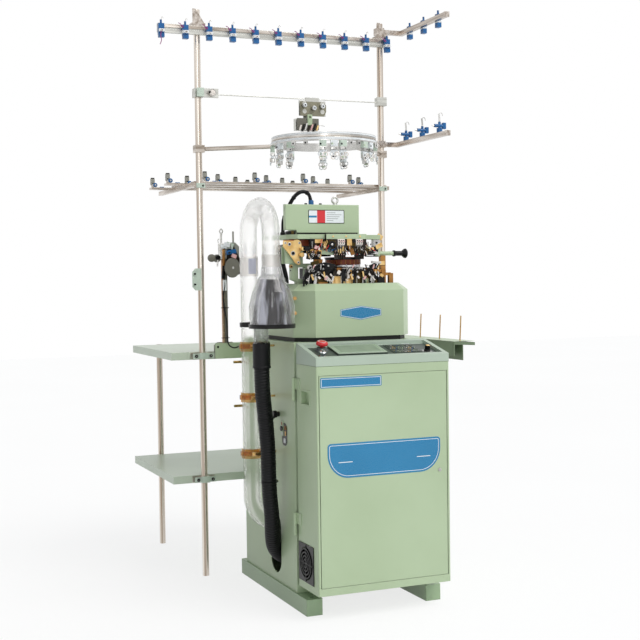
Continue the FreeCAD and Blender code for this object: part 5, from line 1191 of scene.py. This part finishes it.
def side_fittings():
    """Trim of hose and duct, a black oval of painted shade in the latch slot, latch bits and knobs on the
    machine's left side, and clamps on the creel poles.
    """
    side = Piece()
    hose_and_duct_trim(side)
    # The black oval and the two black pieces above and below the latch are painted shade of the dark latch
    # slot; the bronze, brass and pearl bits are latch parts.
    at = axes_at((-250, 291, 596), (-1, 0, 0), (0, 1, 0))
    side.slab(rounded(50, 80, 20), 0.1, 1, BLACK, 0.3, at)
    face = (-253, -250.8)
    side.parts((BRONZE, face, (270, 290), (612, 627), 0, 1), (BRASS, face, (276, 284), (592, 608), 0, 1),
               (SHEEN, face, (280, 296), (566, 582), 0, 1),
               (BLACK, (-251.8, -251.05), (301, 321), (590, 605), 0, 0.3),
               (BLACK, (-251.8, -251.05), (301, 321), (625, 640), 0, 0.3),
               (BRONZE, (-253.4, -251.8), (306, 317), (627, 638), 0, 0.5),
               (SHEEN, (-253.4, -251.8), (305, 314), (593, 603), 0, 0.5))
    side.wire(STEEL, [(-233, 214, 1075), (-240, 212, 1074), (-243, 212, 1066), (-243, 212, 1034),
                      (-240, 212, 1025), (-233, 214, 1024)], 2.4, 8)
    for z in (1075, 1024):
        side.disc(BRASS, -237, (206, 214), z, 6.5, 3)
    # Sage skin on the peg tray's top: the lit top, over the tray's painted shade.
    side.part(SAGE, (497, 587), (406, 1049), (892.9, 893.4), 0, 0.3)
    for z in (660, 828):
        side.wire(BRASS, [(-297, 700, z), (-272, 700, z), (-250, 700, z)], 5, 12)
    for x in WHEEL_COLUMNS:
        for low in (840, 364):
            side.move(x, 766.4, low)
            side.part(CLAMP, (-43, 43), (0, 1.4), (1, 22), 0, 0.4)
            side.part(CLAMP, (-17, 17), (-3.4, 0), (-1, 24), 0, 3)
            for shift in (-29, 29):
                side.bolt(BLACK, shift, 0.2, 11.5, 6.5)
                side.disc(STEEL, shift, (-4.8, -4), 11.5, 2, 0, 10)
    side.finish("side_fittings")
    strip = Piece()
    strip.part(SAGE, (-96, 60), (254.6, 256), (1281, 1299), 0, 0.4)
    for x in (-70, -20, 34):
        strip.disc(GOLD, x, (252.6, 254.6), 1290, 3.4, 1)
    # Black strip under the head box's front edge: painted shadow of the gap between box and plate.
    strip.part(BLACK, (-190, 46), (298.8, 300.1), (1300, 1305.5), 0, 0.3)
    strip.finish("bracket_strip", "head_body")


def gap_parts():
    """Small parts that hang between the pivot plates and the needle cylinder."""
    group = Piece(axes_at((0, 240, 1200)))
    group.parts(*GAP_PARTS)
    for x, z, radius in ((-156, 27, 4), (-130, 22, 4.6), (-165, 19, 3)):
        group.disc(STEEL, x, (0.5, 5), z, radius, radius * 0.4)
        group.disc(BLACK, x, (-0.2, 0.6), z, radius * 0.5)
    for x in (-172, -165, -157, -148):
        group.wire(BLACK, [(x, 10, 40), (x + 6, 3, 26), (x + 14, 2, 14), (x + 26, 6, 9)], 1.9)
    group.finish("gap_parts", "head_body")


def tangle():
    """Thin levers, clips and springs in front of the selector blocks."""
    bits = Piece()
    hues = (WHITE, BLACK, GOLD, STEEL, BLACK, PINK, DARK_STEEL)
    for first, count, step in ((-190, 17, 6.4), (-40, 16, 6.3)):
        for number in range(count):
            bits.move(first + number * step, 205, 1136 + number * 37 % 50)
            wide = 1.6 + number * 5 % 4 * 0.6
            tall = 5 + number * 11 % 7
            bits.part(hues[number * 3 % 7], (-wide, wide), (0.5, 4), (-tall, tall),
                      number * 53 % 120 - 60, 0.5)
            if number % 3 == 0:
                bits.disc(STEEL, 2, (-1.5, 1), 6, 3.2, 1.4, 12)
            if number % 4 == 1:
                bits.wire(BLACK, [(-9, 3, -12), (-3, -1, -2), (6, 0, 9), (15, 3, 6)], 1.3, 6)
    for number in range(9):
        bits.move(64 + number % 3 * 9, 205, 1140 + number * 23 % 48)
        bits.part(hues[number * 2 % 7], (-2, 2), (1, 5), (-8, 8), number * 41 % 90 - 45, 0.5)
    bits.finish("tangle")


side_fittings()
gap_parts()
tangle()
screen_and_keys()
control_trim()
control_caps()


# ---- light, floor and world

def stand(name, data, place=(0, 0, 0)):
    """A new object of the scene."""
    item = bpy.data.objects.new(name, data)
    item.location = place
    bpy.context.scene.collection.objects.link(item)
    return item


def lamp(name, kind, power, place, way, **settings):
    """A light that shines along a direction."""
    data = bpy.data.lights.new(name, kind)
    data.energy = power
    for key, value in settings.items():
        setattr(data, key, value)
    stand(name, data, place).rotation_euler = Vector(way).to_track_quat("-Z", "Y").to_euler()


def world():
    """White to the camera and in mirrors, brighter from the right for everything else."""
    sky = bpy.data.worlds.new("Studio")
    sky.use_nodes = True
    nodes = Nodes(sky.node_tree)
    nodes.tree.nodes.clear()
    parts = nodes.new("SeparateXYZ", "X", {"Vector": nodes.new("TexCoord", "Generated")})
    shades = [nodes.new("Background", "Background", {"Color": colour, "Strength": strength})
              for colour, strength in (((0.95, 0.97, 1, 1), nodes.span(parts, 0.30, 0.92, -0.8, 0.7)),
                                       ((1, 1, 1, 1), 1))]
    seen = nodes.rays("MAXIMUM", "Camera", "Transmission", "Glossy")
    nodes.new("OutputWorld", None, {"Surface": nodes.new("MixShader", "Shader", {
        "Fac": seen, 1: shades[0], 2: shades[1]})})
    bpy.context.scene.world = sky


def floor():
    """A pale floor that glows a little, so that it fades into the surroundings."""
    data = bpy.data.meshes.new("floor")
    sheet = bmesh.new()
    bmesh.ops.create_grid(sheet, x_segments=2, y_segments=2, size=14)
    sheet.to_mesh(data)
    sheet.free()
    pale = surface("floor_pale", screen(244, 245, 245), screen(248, 249, 249), rough=(0.9, 1), patch=0.6,
                   grain=40, bump=0.02, Specular_IOR_Level=0)
    nodes = Nodes(pale.node_tree)
    share = nodes.math("MULTIPLY", nodes.rays("ADD", "Camera", "Glossy", "Transmission"), 0.78,
                       use_clamp=True)
    shader = nodes.tree.nodes["Principled BSDF"].outputs["BSDF"]
    blend = nodes.new("MixShader", "Shader", {"Fac": share, 1: shader, 2: nodes.new("Emission", "Emission")})
    nodes.fill(nodes.tree.nodes["Material Output"], {"Surface": blend})
    data.materials.append(pale)
    item = stand("floor", data, (0, 0, -0.0006))


world()
lamp("sky_panel", "SUN", 1.55, (0, 0, 0), (-0.36, 0.50, -0.79), angle=math.radians(38),
     color=(1, 0.985, 0.96))
lamp("strip", "AREA", 16, (-1.4, -3.6, 2.4), (1.4, 3.6, -1.3), shape="RECTANGLE", size=0.5, size_y=2.6)
floor()
bpy.context.scene.view_settings.view_transform = "Standard"
